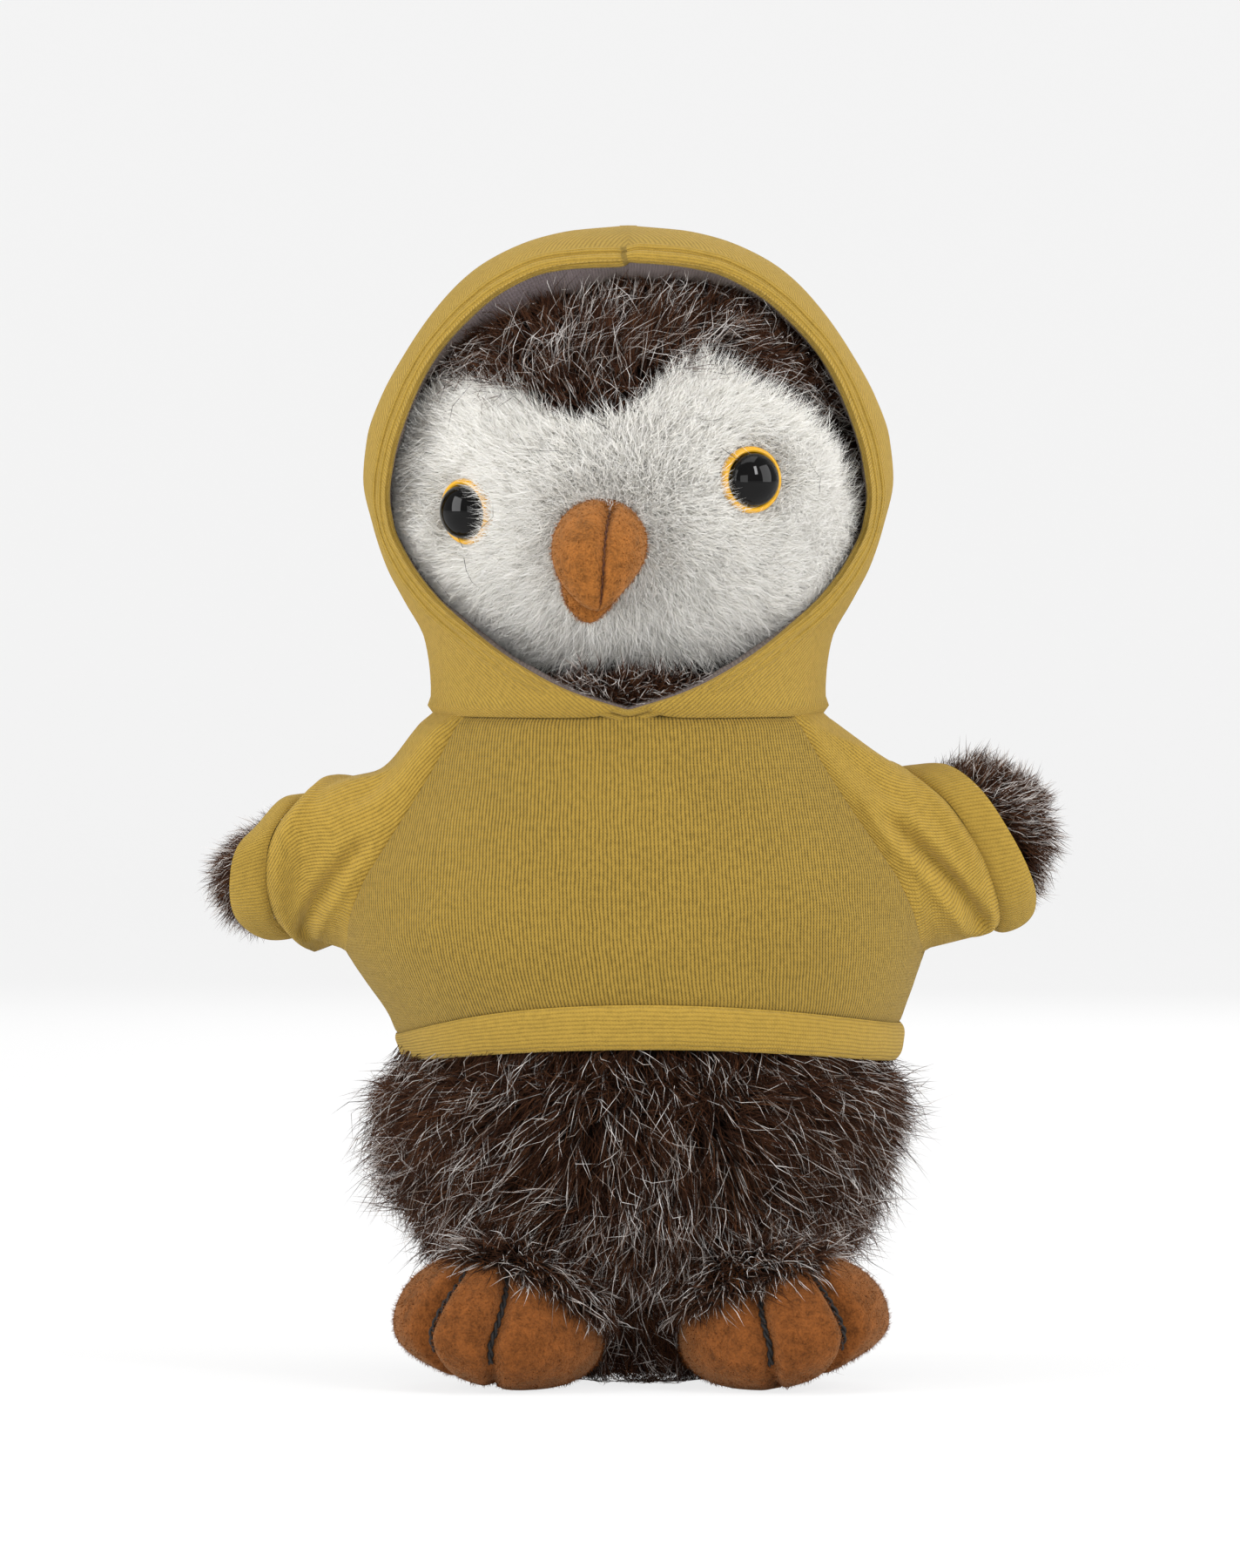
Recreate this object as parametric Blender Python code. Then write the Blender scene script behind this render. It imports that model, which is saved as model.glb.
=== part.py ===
"""Plush owl in a hooded top, standing on its feet and the flat of its body.

Metres, +Z up, the face looks along -Y. The origin lies on the floor under the
middle of the body. Left and right are those of someone facing the owl, so left
is -X. Every piece of cloth, fur pile, plastic and thread is its own closed solid.
"""

import math

import bmesh
import bpy
from mathutils import Matrix, Vector

# Clearances, cloth and the floor
SEAM_GAP = 0.0003
FIT_GAP = 0.0004
CLOTH = 0.0012
CUT_OVERRUN = 0.006
FLOOR_FLAT = 0.0005

# Body: fur bulges below the hem, the chest narrows inside the top
BODY_WIDTH = 0.0925
BODY_DEPTH = 0.0830
NECK_HEIGHT = 0.1150
NECK_LEAN = -0.0022
BODY_FOOT_SHARES = (
    (0.000, 0.39, 0.43),
    (0.050, 0.50, 0.54),
    (0.145, 0.60, 0.65),
    (0.310, 0.69, 0.74),
    (0.430, 0.78, 0.82),
    (0.570, 0.89, 0.91),
    (0.760, 0.97, 0.98),
    (0.890, 1.00, 1.00),
)
CHEST_WIDTH_SHARES = (
    (0.00, 1.00),
    (0.14, 0.97),
    (0.34, 0.81),
    (0.47, 0.76),
    (0.64, 0.74),
    (0.82, 0.72),
    (1.00, 0.71),
)

# Hooded top: hem, armpits and neckline
TOP_WIDTH = 0.1035
TOP_DEPTH = 0.0820
HEM_HEIGHT = 0.0550
HEM_BAND = 0.0065
HEM_CLOTH = 0.0018
HEM_ARCH = 0.0025
ARMPIT_HEIGHT = 0.0742
RAGLAN_ANGLE = 31.0
RAGLAN_GAP = 0.0005
TOP_SHARES = (
    (0.00, 0.855, 0.970),
    (0.12, 0.875, 0.985),
    (0.23, 0.930, 0.995),
    (0.34, 0.985, 1.000),
    (0.42, 1.000, 0.990),
    (0.52, 0.980, 0.970),
    (0.62, 0.925, 0.940),
    (0.75, 0.835, 0.890),
    (0.88, 0.742, 0.825),
    (1.00, 0.661, 0.760),
)
RAGLAN_SHARES = (
    (0.00, 0.00),
    (0.05, 0.30),
    (0.13, 0.52),
    (0.24, 0.67),
    (0.40, 0.80),
    (0.58, 0.89),
    (0.79, 0.96),
    (1.00, 1.00),
)

# Head: one stuffed form, turned and tipped a little on the neck
HEAD_WIDTH = 0.0816
HEAD_DEPTH = 0.0710
HEAD_HEIGHT = 0.0800
HEAD_SINK = 0.0005
HEAD_BACK = 0.0015
HEAD_TURN = -8.0
HEAD_TIP = -6.4
HEAD_CENTRE_HEIGHT = NECK_HEIGHT + HEAD_HEIGHT / 2 - HEAD_SINK

# Hood: sewn round the neckline, its face opening turned in a rolled edge
HOOD_CLOTH = 0.0016
HOOD_SIDE_ROOM = 0.0037
HOOD_FRONT_ROOM = 0.0044
HOOD_CROWN_ROOM = 0.0039
HOOD_EDGE_RADIUS = 0.0015
HOOD_EDGE_NIP_SHARE = 0.55
OPENING_SIDE = 0.0040
OPENING_DROP = 0.0064
OPENING_RISE = 0.0023
HOOD_WIDTH = HEAD_WIDTH + 2 * (HOOD_SIDE_ROOM + HOOD_CLOTH)
HOOD_DEPTH = HEAD_DEPTH + 2 * (HOOD_FRONT_ROOM + HOOD_CLOTH)
HOOD_TOP = HEAD_CENTRE_HEIGHT + HEAD_HEIGHT / 2 + HOOD_CROWN_ROOM + HOOD_CLOTH
OPENING_WIDTH = HOOD_WIDTH - 2 * OPENING_SIDE
OPENING_TOP = HOOD_TOP - OPENING_DROP
HOOD_SWELL_SHARES = (
    (0.000, 0.00, 0.00),
    (0.075, 0.02, 0.31),
    (0.150, 0.10, 0.56),
    (0.230, 0.40, 0.76),
    (0.300, 0.66, 0.88),
    (0.385, 0.86, 0.96),
    (0.480, 1.00, 1.00),
)
HOOD_CROWN_SHARES = (
    (0.480, 1.000, 1.000),
    (0.565, 0.985, 0.995),
    (0.645, 0.935, 0.965),
    (0.740, 0.840, 0.890),
    (0.830, 0.725, 0.780),
    (0.905, 0.590, 0.640),
    (0.958, 0.420, 0.460),
    (0.988, 0.230, 0.260),
)
OPENING_SHARES = (
    (1.000, 0.000),
    (0.996, 0.170),
    (0.983, 0.340),
    (0.936, 0.530),
    (0.865, 0.687),
    (0.782, 0.815),
    (0.680, 0.910),
    (0.560, 0.980),
    (0.475, 1.000),
    (0.410, 0.985),
    (0.335, 0.922),
    (0.256, 0.815),
    (0.177, 0.650),
    (0.094, 0.430),
    (0.040, 0.230),
    (0.000, 0.000),
)

# White face: a heart of short pile let into the front of the head
FACE_PILE = 0.0070
FACE_BACK = 0.0040
FACE_SHARES = (
    (0.00, 0.29),
    (0.14, 0.32),
    (0.33, 0.46),
    (0.51, 0.53),
    (0.71, 0.47),
    (0.87, 0.31),
    (0.955, 0.10),
    (0.97, -0.12),
    (0.89, -0.42),
    (0.66, -0.65),
    (0.36, -0.73),
    (0.00, -0.75),
)

# Eyes: a domed pupil in a yellow ring whose stem takes a washer inside the head
EYE_SPACING = 0.0524
EYE_RISE = -0.0010
EYE_INSET = 0.0030
EYE_RING_RADIUS = 0.0061
EYE_RING_RIM = 0.0010
EYE_RING_CROWN = 0.0016
EYE_RING_FLOOR = 0.0007
EYE_STEM_RADIUS = 0.0016
PUPIL_RADIUS = 0.0046
PUPIL_SIDE = 0.0006
PUPIL_DOME = 0.0027
WASHER_RADIUS = 0.0050
WASHER_THICKNESS = 0.0010
WASHER_ROOM = 0.0030

# Beak: two stuffed cones of velour that droop to a point
BEAK_RISE = -0.0085
BEAK_INSET = 0.0030
BEAK_LENGTH = 0.0195
BEAK_WIDTH = 0.0166
BEAK_HEIGHT = 0.0150
BEAK_SEAM = 0.0007
BEAK_START_ANGLE = 10.0
BEAK_END_ANGLE = 82.0
BEAK_CREASE_ANGLE = 17.0
BEAK_DROOP_POWER = 1.3
BEAK_TAPER_POWER = 1.9
BEAK_TAPER_ROOT = 0.62
LOWER_BEAK_DROP = 0.0068
LOWER_BEAK_LENGTH = 0.0125
LOWER_BEAK_WIDTH = 0.0105
LOWER_BEAK_HEIGHT = 0.0070
LOWER_BEAK_START_ANGLE = 30.0
LOWER_BEAK_END_ANGLE = 62.0

# Wings: round at the shoulder, a flat paddle beyond it
WING_LENGTH = 0.0325
WING_HEIGHT = 0.0298
WING_DEPTH = 0.0170
WING_ROOT_RADIUS = 0.0105
WING_WIDEST_SHARE = 0.60
SHOULDER_SHARE = 0.455
SHOULDER_SEAT = 0.0025
LEFT_WING_LIFT = -14.0
LEFT_WING_TWIST = 38.0
LEFT_CUFF_REACH = 0.0235
LEFT_CUFF_SLANT = 0.0020
RIGHT_WING_LIFT = 8.0
RIGHT_WING_TWIST = 0.0
RIGHT_CUFF_REACH = 0.0152
RIGHT_CUFF_SLANT = 0.0068
CUFF_BAND = 0.0070
CUFF_CLOTH = 0.0016
SLEEVE_EASE = 0.0012

# Feet: three stuffed toes each, drawn in by black thread
FOOT_WIDTH = 0.0360
FOOT_FRONT = 0.0190
FOOT_REAR = 0.0210
FOOT_MIDDLE_HEIGHT = 0.0080
FOOT_HEIGHT = 0.0235
FOOT_SPREAD = 0.0492
FOOT_FORWARD = 0.0305
FOOT_SPLAY = 10.0
TOE_ANGLE = 20.0
TOE_CREASE = 0.0019
TOE_CREASE_ANGLE = 7.0
TOE_THREAD_RADIUS = 0.0006
TOE_THREAD_TOP_ANGLE = 62.0
TOE_THREAD_FOOT_ANGLE = -28.0
FOOT_CROWN_POWER = 0.8
FOOT_SOLE_POWER = 0.6

# Mesh counts
RING_POINTS = 36
SLEEVE_POINTS = 24
SMALL_POINTS = 16
BEAK_POINTS = 20
EDGE_SIDES = 8
THREAD_SIDES = 6
CURVE_SAMPLES = 48
SHARP_ANGLE = 40.0

LEFT = -1
RIGHT = 1


# Curves and rings

def through(knots, x):
    """Value at x of a smooth curve through the knots, which never overshoots them."""
    if x <= knots[0][0]:
        return knots[0][1]
    if x >= knots[-1][0]:
        return knots[-1][1]
    index = 0
    while knots[index + 1][0] < x:
        index += 1
    slopes = [(b[1] - a[1]) / (b[0] - a[0]) for a, b in zip(knots, knots[1:])]

    def tangent(i):
        if i == 0:
            return slopes[0]
        if i == len(knots) - 1:
            return slopes[-1]
        before, after = slopes[i - 1], slopes[i]
        if before * after <= 0:
            return 0.0
        return 2 * before * after / (before + after)

    (x0, y0), (x1, y1) = knots[index], knots[index + 1]
    span = x1 - x0
    t = (x - x0) / span
    rise = y0 * (1 + 2 * t) * (1 - t) ** 2 + y1 * t * t * (3 - 2 * t)
    return rise + span * (tangent(index) * t * (1 - t) ** 2 - tangent(index + 1) * t * t * (1 - t))


def ease(t):
    """Zero to one with level ends."""
    t = min(max(t, 0.0), 1.0)
    return t * t * (3 - 2 * t)


def column(table, pick):
    """The first value of each row beside the picked one, as knots of a curve."""
    return [(row[0], row[pick]) for row in table]


def angles(count):
    return [2 * math.pi * i / count for i in range(count)]


def ellipse(section, height):
    """A level ring of points from a section of centre, half width and half depth."""
    centre, half_width, half_depth = section
    ring = []
    for a in angles(RING_POINTS):
        ring.append(Vector((centre + half_width * math.cos(a), half_depth * math.sin(a), height)))
    return ring


def spread(points, amount):
    """A closed outline of (x, z) points that runs clockwise, moved outwards by an amount."""
    moved = []
    for i, (x, z) in enumerate(points):
        ahead = points[(i + 1) % len(points)]
        behind = points[i - 1]
        outward = Vector((behind[1] - ahead[1], ahead[0] - behind[0])).normalized()
        moved.append((x + outward.x * amount, z + outward.y * amount))
    return moved


def drawn_in(ring, amount):
    """The ring with every point moved towards its middle."""
    middle = sum(ring, Vector()) / len(ring)
    return [p + (middle - p).normalized() * amount for p in ring]


# Solids from rings and grids

def add_mesh_object(name, bm, colour, origin=Vector(), parent=None):
    """A mesh object with its normals facing out; its origin is at a point, which is also its parent's."""
    bmesh.ops.recalc_face_normals(bm, faces=bm.faces)
    mesh = bpy.data.meshes.new(name)
    bmesh.ops.translate(bm, vec=-origin, verts=bm.verts)
    bm.to_mesh(mesh)
    bm.free()
    mesh.shade_smooth()
    mesh.set_sharp_from_angle(angle=math.radians(SHARP_ANGLE))
    obj = bpy.data.objects.new(name, mesh)
    if parent is None:
        obj.location = origin
    obj.parent = parent
    bpy.context.collection.objects.link(obj)
    if colour is None:
        obj.hide_render = True
        obj.display_type = "WIRE"
    else:
        mesh.materials.append(colour)
    return obj


def skin(bm, rows, wrap):
    """Faces between rows of vertices; wrap closes each row on itself."""
    for low, high in zip(rows, rows[1:]):
        last = len(low) if wrap else len(low) - 1
        for i in range(last):
            j = (i + 1) % len(low)
            bm.faces.new((low[i], low[j], high[j], high[i]))


def stuffed(name, rings, colour, start_point=None, end_point=None, **place):
    """A closed form through rings, ended by flat faces or by points."""
    bm = bmesh.new()
    rows = [[bm.verts.new(p) for p in ring] for ring in rings]
    skin(bm, rows, wrap=True)
    for row, point in ((rows[0], start_point), (rows[-1], end_point)):
        if point is None:
            bm.faces.new(row)
        else:
            tip = bm.verts.new(point)
            for i in range(len(row)):
                bm.faces.new((row[i], row[(i + 1) % len(row)], tip))
    return add_mesh_object(name, bm, colour, **place)


def tube_of_cloth(name, outer, inner, colour, top_points=None, **place):
    """A sleeve of cloth between outer and inner rings; top_points close both with a crown."""
    bm = bmesh.new()
    outside = [[bm.verts.new(p) for p in ring] for ring in outer]
    inside = [[bm.verts.new(p) for p in ring] for ring in inner]
    skin(bm, outside, wrap=True)
    skin(bm, inside, wrap=True)
    skin(bm, [outside[0], inside[0]], wrap=True)
    if top_points is None:
        skin(bm, [outside[-1], inside[-1]], wrap=True)
    else:
        for row, point in zip((outside[-1], inside[-1]), top_points):
            tip = bm.verts.new(point)
            for i in range(len(row)):
                bm.faces.new((row[i], row[(i + 1) % len(row)], tip))
    return add_mesh_object(name, bm, colour, **place)


def panel_of_cloth(name, outer, inner, colour, **place):
    """A panel between two grids of points, closed along its four edges."""
    bm = bmesh.new()
    outside = [[bm.verts.new(p) for p in row] for row in outer]
    inside = [[bm.verts.new(p) for p in row] for row in inner]
    skin(bm, outside, wrap=False)
    skin(bm, inside, wrap=False)
    skin(bm, [outside[0], inside[0]], wrap=False)
    skin(bm, [outside[-1], inside[-1]], wrap=False)
    skin(bm, [[row[0] for row in outside], [row[0] for row in inside]], wrap=False)
    skin(bm, [[row[-1] for row in outside], [row[-1] for row in inside]], wrap=False)
    return add_mesh_object(name, bm, colour, **place)


def cord(name, path, radii, sides, colour, closed=False, **place):
    """A round cord along a path, whose radius may change from point to point."""
    rings = []
    count = len(path)
    side = None
    for i, point in enumerate(path):
        before = path[i - 1] if closed or i else point
        after = path[(i + 1) % count] if closed or i < count - 1 else point
        along = (after - before).normalized()
        if side is None:
            side = along.orthogonal().normalized()
        side = (side - along * side.dot(along)).normalized()
        up = along.cross(side)
        rings.append([point + (side * math.cos(a) + up * math.sin(a)) * radii[i] for a in angles(sides)])
    if not closed:
        return stuffed(name, rings, colour, start_point=path[0], end_point=path[-1], **place)
    bm = bmesh.new()
    rows = [[bm.verts.new(p) for p in ring] for ring in rings]
    skin(bm, rows, wrap=True)
    turns = min(range(sides), key=lambda k: (rings[0][k] - rings[-1][0]).length)
    shifted = rows[0][turns:] + rows[0][:turns]
    skin(bm, [rows[-1], shifted], wrap=True)
    return add_mesh_object(name, bm, colour, **place)


def turned(name, profile, colour, parent):
    """A profile of (radius, height) points from axis to axis, spun round local Z."""
    bm = bmesh.new()
    verts = [bm.verts.new((radius, 0.0, height)) for radius, height in profile]
    edges = [bm.edges.new(pair) for pair in zip(verts, verts[1:])]
    bmesh.ops.spin(
        bm, geom=verts + edges, cent=(0, 0, 0), axis=(0, 0, 1), angle=2 * math.pi,
        steps=SMALL_POINTS, use_merge=True,
    )
    bmesh.ops.remove_doubles(bm, verts=bm.verts, dist=SEAM_GAP / 100)
    return add_mesh_object(name, bm, colour, parent=parent)


def ellipsoid(name, radii, colour, parent, shrink=0.0, rows=16, columns=32):
    """An egg-like form on a parent's origin, made from a sphere of unit radius."""
    bm = bmesh.new()
    bmesh.ops.create_uvsphere(bm, u_segments=columns, v_segments=rows, radius=1.0)
    size = [r - shrink for r in radii]
    bmesh.ops.scale(bm, vec=size, verts=bm.verts)
    return add_mesh_object(name, bm, colour, parent=parent)


def block(name, low, high):
    """A box cutter between two corners."""
    bm = bmesh.new()
    bmesh.ops.create_cube(bm, size=1.0)
    bmesh.ops.scale(bm, vec=high - low, verts=bm.verts)
    bmesh.ops.translate(bm, vec=(low + high) / 2, verts=bm.verts)
    return add_mesh_object(name, bm, None)


def prism(name, outline, front, back, parent=None):
    """An outline of (x, z) points carried along Y from front to back, as a cutter."""
    bm = bmesh.new()
    face = bm.faces.new([bm.verts.new((x, front, z)) for x, z in outline])
    grown = bmesh.ops.extrude_face_region(bm, geom=[face])["geom"]
    moved = [v for v in grown if isinstance(v, bmesh.types.BMVert)]
    bmesh.ops.translate(bm, vec=(0, back - front, 0), verts=moved)
    return add_mesh_object(name, bm, None, parent=parent)


def combine(target, other, operation="DIFFERENCE"):
    """A live Boolean between two objects."""
    step = target.modifiers.new(other.name, "BOOLEAN")
    step.operation = operation
    step.solver = "EXACT"
    step.object = other


def empty(name, location, rotation=None, parent=None):
    """A frame that pieces are parented to."""
    obj = bpy.data.objects.new(name, None)
    obj.location = location
    if rotation is not None:
        obj.rotation_euler = rotation
    obj.parent = parent
    bpy.context.collection.objects.link(obj)
    return obj


# Finishes

def linear(red, green, blue):
    """Display colours, 0 to 255, as the linear values that a shader takes."""
    shares = [value / 255 for value in (red, green, blue)]
    return [s / 12.92 if s <= 0.04045 else ((s + 0.055) / 1.055) ** 2.4 for s in shares]


def finish(name, red, green, blue, roughness):
    """A Principled finish with one colour."""
    material = bpy.data.materials.new(name)
    material.use_nodes = True
    shader = material.node_tree.nodes["Principled BSDF"]
    shader.inputs["Base Color"].default_value = (*linear(red, green, blue), 1.0)
    shader.inputs["Roughness"].default_value = roughness
    shader.inputs["Metallic"].default_value = 0.0
    return material


# Body

def lean(height):
    """How far the upright middle line stands to the side at a height."""
    return NECK_LEAN * height / NECK_HEIGHT


def top_section(height, inset=0.0):
    """Centre, half width and half depth of the top's outer surface, less an inset."""
    share = (height - HEM_HEIGHT) / (NECK_HEIGHT - HEM_HEIGHT)
    half_width = through(column(TOP_SHARES, 1), share) * TOP_WIDTH / 2
    half_depth = through(column(TOP_SHARES, 2), share) * TOP_DEPTH / 2
    return lean(height), half_width - inset, half_depth - inset


def chest_section(height):
    """The stuffed body inside the top: it fills the top front to back, not side to side."""
    share = (height - HEM_HEIGHT) / (NECK_HEIGHT - HEM_HEIGHT)
    centre, half_width, half_depth = top_section(height, CLOTH + FIT_GAP)
    return centre, half_width * through(CHEST_WIDTH_SHARES, share), half_depth


def body_section(height, grow=0.0):
    """Centre, half width and half depth of the body at any height."""
    if height >= HEM_HEIGHT:
        centre, half_width, half_depth = chest_section(height)
        return centre, half_width + grow, half_depth + grow
    _, hem_width, hem_depth = chest_section(HEM_HEIGHT)
    widths = [(row[0] * HEM_HEIGHT, row[1] * BODY_WIDTH / 2) for row in BODY_FOOT_SHARES]
    depths = [(row[0] * HEM_HEIGHT, row[2] * BODY_DEPTH / 2) for row in BODY_FOOT_SHARES]
    half_width = through(widths + [(HEM_HEIGHT, hem_width)], height)
    half_depth = through(depths + [(HEM_HEIGHT, hem_depth)], height)
    return lean(height), half_width + grow, half_depth + grow


def body_heights():
    """Heights of the body's rings: close at the floor and round the hem."""
    low = [row[0] * HEM_HEIGHT for row in BODY_FOOT_SHARES]
    low.append((low[-3] + low[-2]) / 2)
    low.append((low[-2] + HEM_HEIGHT) / 2)
    top_span = NECK_HEIGHT - HEM_HEIGHT
    steps = 8
    above = [HEM_HEIGHT + top_span * i / steps for i in range(steps + 1)]
    return sorted(low + above)


def shoulder(side):
    """The point that a wing swings about: its round root sits a little way into the body."""
    height = ARMPIT_HEIGHT + SHOULDER_SHARE * (NECK_HEIGHT - ARMPIT_HEIGHT)
    centre, half_width, _ = body_section(height)
    out = half_width + WING_ROOT_RADIUS + FIT_GAP - SHOULDER_SEAT
    return Vector((centre + side * out, 0.0, height))


def make_body(fur):
    """The stuffed body, with a flat where it stands and a hollow for each wing root."""
    rings = [ellipse(body_section(z), z) for z in body_heights()]
    body = stuffed("body", rings, fur)
    for side, name in ((LEFT, "left"), (RIGHT, "right")):
        bm = bmesh.new()
        bmesh.ops.create_uvsphere(
            bm, u_segments=SLEEVE_POINTS, v_segments=SLEEVE_POINTS // 2, radius=WING_ROOT_RADIUS + FIT_GAP
        )
        bmesh.ops.translate(bm, vec=shoulder(side), verts=bm.verts)
        combine(body, add_mesh_object("shoulder_hollow_" + name, bm, None, origin=shoulder(side)))
    return body


# Top: two panels, a hem band, two sleeves and two cuffs

def hem_lift(angle, height):
    """The hem rises over the belly, fading out at the armpits."""
    fade = 1 - ease((height - HEM_HEIGHT - HEM_BAND) / (ARMPIT_HEIGHT - HEM_HEIGHT - HEM_BAND))
    return HEM_ARCH * max(-math.sin(angle), 0.0) ** 2 * fade


def top_point(angle, height, inset):
    """A point of the top at an angle round it; -90 degrees is the middle of the front."""
    level = height + hem_lift(angle, height)
    centre, half_width, half_depth = top_section(level, inset)
    return Vector((centre + half_width * math.cos(angle), half_depth * math.sin(angle), level))


def raglan_angle(height):
    """Angle from the side of the top to the raglan seam at a height."""
    share = (height - ARMPIT_HEIGHT) / (NECK_HEIGHT - ARMPIT_HEIGHT)
    return math.radians(RAGLAN_ANGLE) * through(RAGLAN_SHARES, share)


def make_panel(name, facing, jersey):
    """The front (facing -1) or back (facing 1) panel, from side seam to side seam."""
    start = HEM_HEIGHT + HEM_BAND + SEAM_GAP
    steps = 3
    heights = [start + (ARMPIT_HEIGHT - start) * i / steps for i in range(steps)]
    heights += [ARMPIT_HEIGHT + row[0] * (NECK_HEIGHT - ARMPIT_HEIGHT) for row in RAGLAN_SHARES]
    across = RING_POINTS // 2
    outer, inner = [], []
    for height in heights:
        edge = raglan_angle(height) + SEAM_GAP / TOP_WIDTH
        turns = [edge + (math.pi - 2 * edge) * i / across for i in range(across + 1)]
        outer.append([top_point(facing * a, height, 0.0) for a in turns])
        inner.append([top_point(facing * a, height, CLOTH) for a in turns])
    return panel_of_cloth(name, outer, inner, jersey)


def make_hem(jersey):
    """The folded band round the hem."""
    heights = [HEM_HEIGHT + HEM_BAND * i / 3 for i in range(4)]
    proud = HEM_CLOTH - CLOTH
    outer = [[top_point(a, z, -proud) for a in angles(RING_POINTS)] for z in heights]
    inner = [[top_point(a, z, CLOTH) for a in angles(RING_POINTS)] for z in heights]
    return tube_of_cloth("hem_band", outer, inner, jersey)


def wing_section(distance, grow=0.0):
    """Half height and half depth of a wing at a distance out from the shoulder."""
    if distance <= 0:
        round_root = math.sqrt(max(WING_ROOT_RADIUS ** 2 - distance ** 2, 0.0))
        return round_root + grow, round_root + grow
    share = distance / WING_LENGTH
    if share < WING_WIDEST_SHARE:
        swell = ease(share / WING_WIDEST_SHARE)
        high = WING_ROOT_RADIUS + (WING_HEIGHT / 2 - WING_ROOT_RADIUS) * swell
        deep = WING_ROOT_RADIUS + (WING_DEPTH / 2 - WING_ROOT_RADIUS) * swell
    else:
        close = min((share - WING_WIDEST_SHARE) / (1 - WING_WIDEST_SHARE), 1.0)
        high = WING_HEIGHT / 2 * math.sqrt(1 - close ** 2)
        deep = WING_DEPTH / 2 * math.sqrt(1 - close ** 2)
    return high + grow, deep + grow


class WingFrame:
    """Where one wing points: outward, up and forward directions at the shoulder."""

    def __init__(self, side, lift, twist):
        self.side = side
        self.pivot = shoulder(side)
        lift = math.radians(lift)
        twist = math.radians(twist)
        self.out = Vector((side * math.cos(lift), 0.0, math.sin(lift)))
        level_up = Vector((-side * math.sin(lift), 0.0, math.cos(lift)))
        level_front = Vector((0.0, -1.0, 0.0))
        self.twist = twist
        self.up = level_up * math.cos(twist) + level_front * math.sin(twist)
        self.front = level_front * math.cos(twist) - level_up * math.sin(twist)

    def point(self, distance, angle, grow=0.0):
        """A point on the wing; the angle runs from the front over the top."""
        high, deep = wing_section(distance, grow)
        around = angle - self.twist
        offset = self.front * deep * math.cos(around) + self.up * high * math.sin(around)
        return self.pivot + self.out * distance + offset

    def outside(self, point, grow):
        """The point, moved straight away from the wing's middle line if the grown wing holds it."""
        distance = (point - self.pivot).dot(self.out)
        middle = self.pivot + self.out * distance
        high, deep = wing_section(distance, grow)
        across = (point - middle).dot(self.front) / deep
        upward = (point - middle).dot(self.up) / high
        share = math.hypot(across, upward)
        if share >= 1:
            return point
        return middle + (point - middle) / share


def make_wing(name, frame, fur):
    """A stuffed wing from its round root to its round tip."""
    root = [-WING_ROOT_RADIUS * math.cos(math.pi / 2 * i / 5) for i in range(1, 5)]
    swell = [WING_LENGTH * WING_WIDEST_SHARE * i / 5 for i in range(6)]
    rest = WING_LENGTH * (1 - WING_WIDEST_SHARE)
    tip = [swell[-1] + rest * math.sin(math.pi / 2 * i / 6) for i in range(1, 6)]
    rings = [[frame.point(d, a) for a in angles(SLEEVE_POINTS)] for d in root + swell + tip]
    start = frame.pivot - frame.out * WING_ROOT_RADIUS
    end = frame.pivot + frame.out * WING_LENGTH
    return stuffed(name, rings, fur, start_point=start, end_point=end, origin=frame.pivot)


def armhole(side):
    """Points round the hole that the raglan seams leave, each with its angle from the front."""
    edge = []
    reach = NECK_HEIGHT - ARMPIT_HEIGHT - 2 * RAGLAN_GAP
    middle = (NECK_HEIGHT + ARMPIT_HEIGHT) / 2
    seam = [i / CURVE_SAMPLES for i in range(CURVE_SAMPLES + 1)]
    for facing in (-1, 1):
        for share in seam:
            height = ARMPIT_HEIGHT + RAGLAN_GAP + reach * share
            turn = max(raglan_angle(height) - RAGLAN_GAP / (TOP_WIDTH / 2), 0.0)
            edge.append(top_point(facing * turn, height, 0.0))
    neck_turn = raglan_angle(NECK_HEIGHT) - RAGLAN_GAP / (TOP_WIDTH / 2)
    for share in seam:
        turn = neck_turn * (2 * share - 1)
        edge.append(top_point(turn, NECK_HEIGHT - RAGLAN_GAP, 0.0))
    found = []
    for point in edge:
        if side == LEFT:
            point = Vector((2 * lean(point.z) - point.x, point.y, point.z))
        around = math.atan2(point.z - middle, -point.y) % (2 * math.pi)
        found.append((around, point))
    return sorted(found, key=lambda pair: pair[0])


def armhole_point(edge, angle):
    """The armhole's point at an angle from the front, up over the shoulder."""
    angle = angle % (2 * math.pi)
    for (a, p), (b, q) in zip(edge, edge[1:]):
        if a <= angle <= b and b > a:
            return p.lerp(q, (angle - a) / (b - a))
    (a, p), (b, q) = edge[-1], edge[0]
    gap = (b - a) % (2 * math.pi)
    return p.lerp(q, ((angle - a) % (2 * math.pi)) / gap)


def cuff_ring(frame, reach, slant, back, grow):
    """A ring round the wing, some way back from the edge of the cuff."""
    ring = []
    for a in angles(SLEEVE_POINTS):
        distance = reach - slant * math.sin(a) - back
        ring.append(frame.point(distance, a, grow))
    return ring


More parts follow.
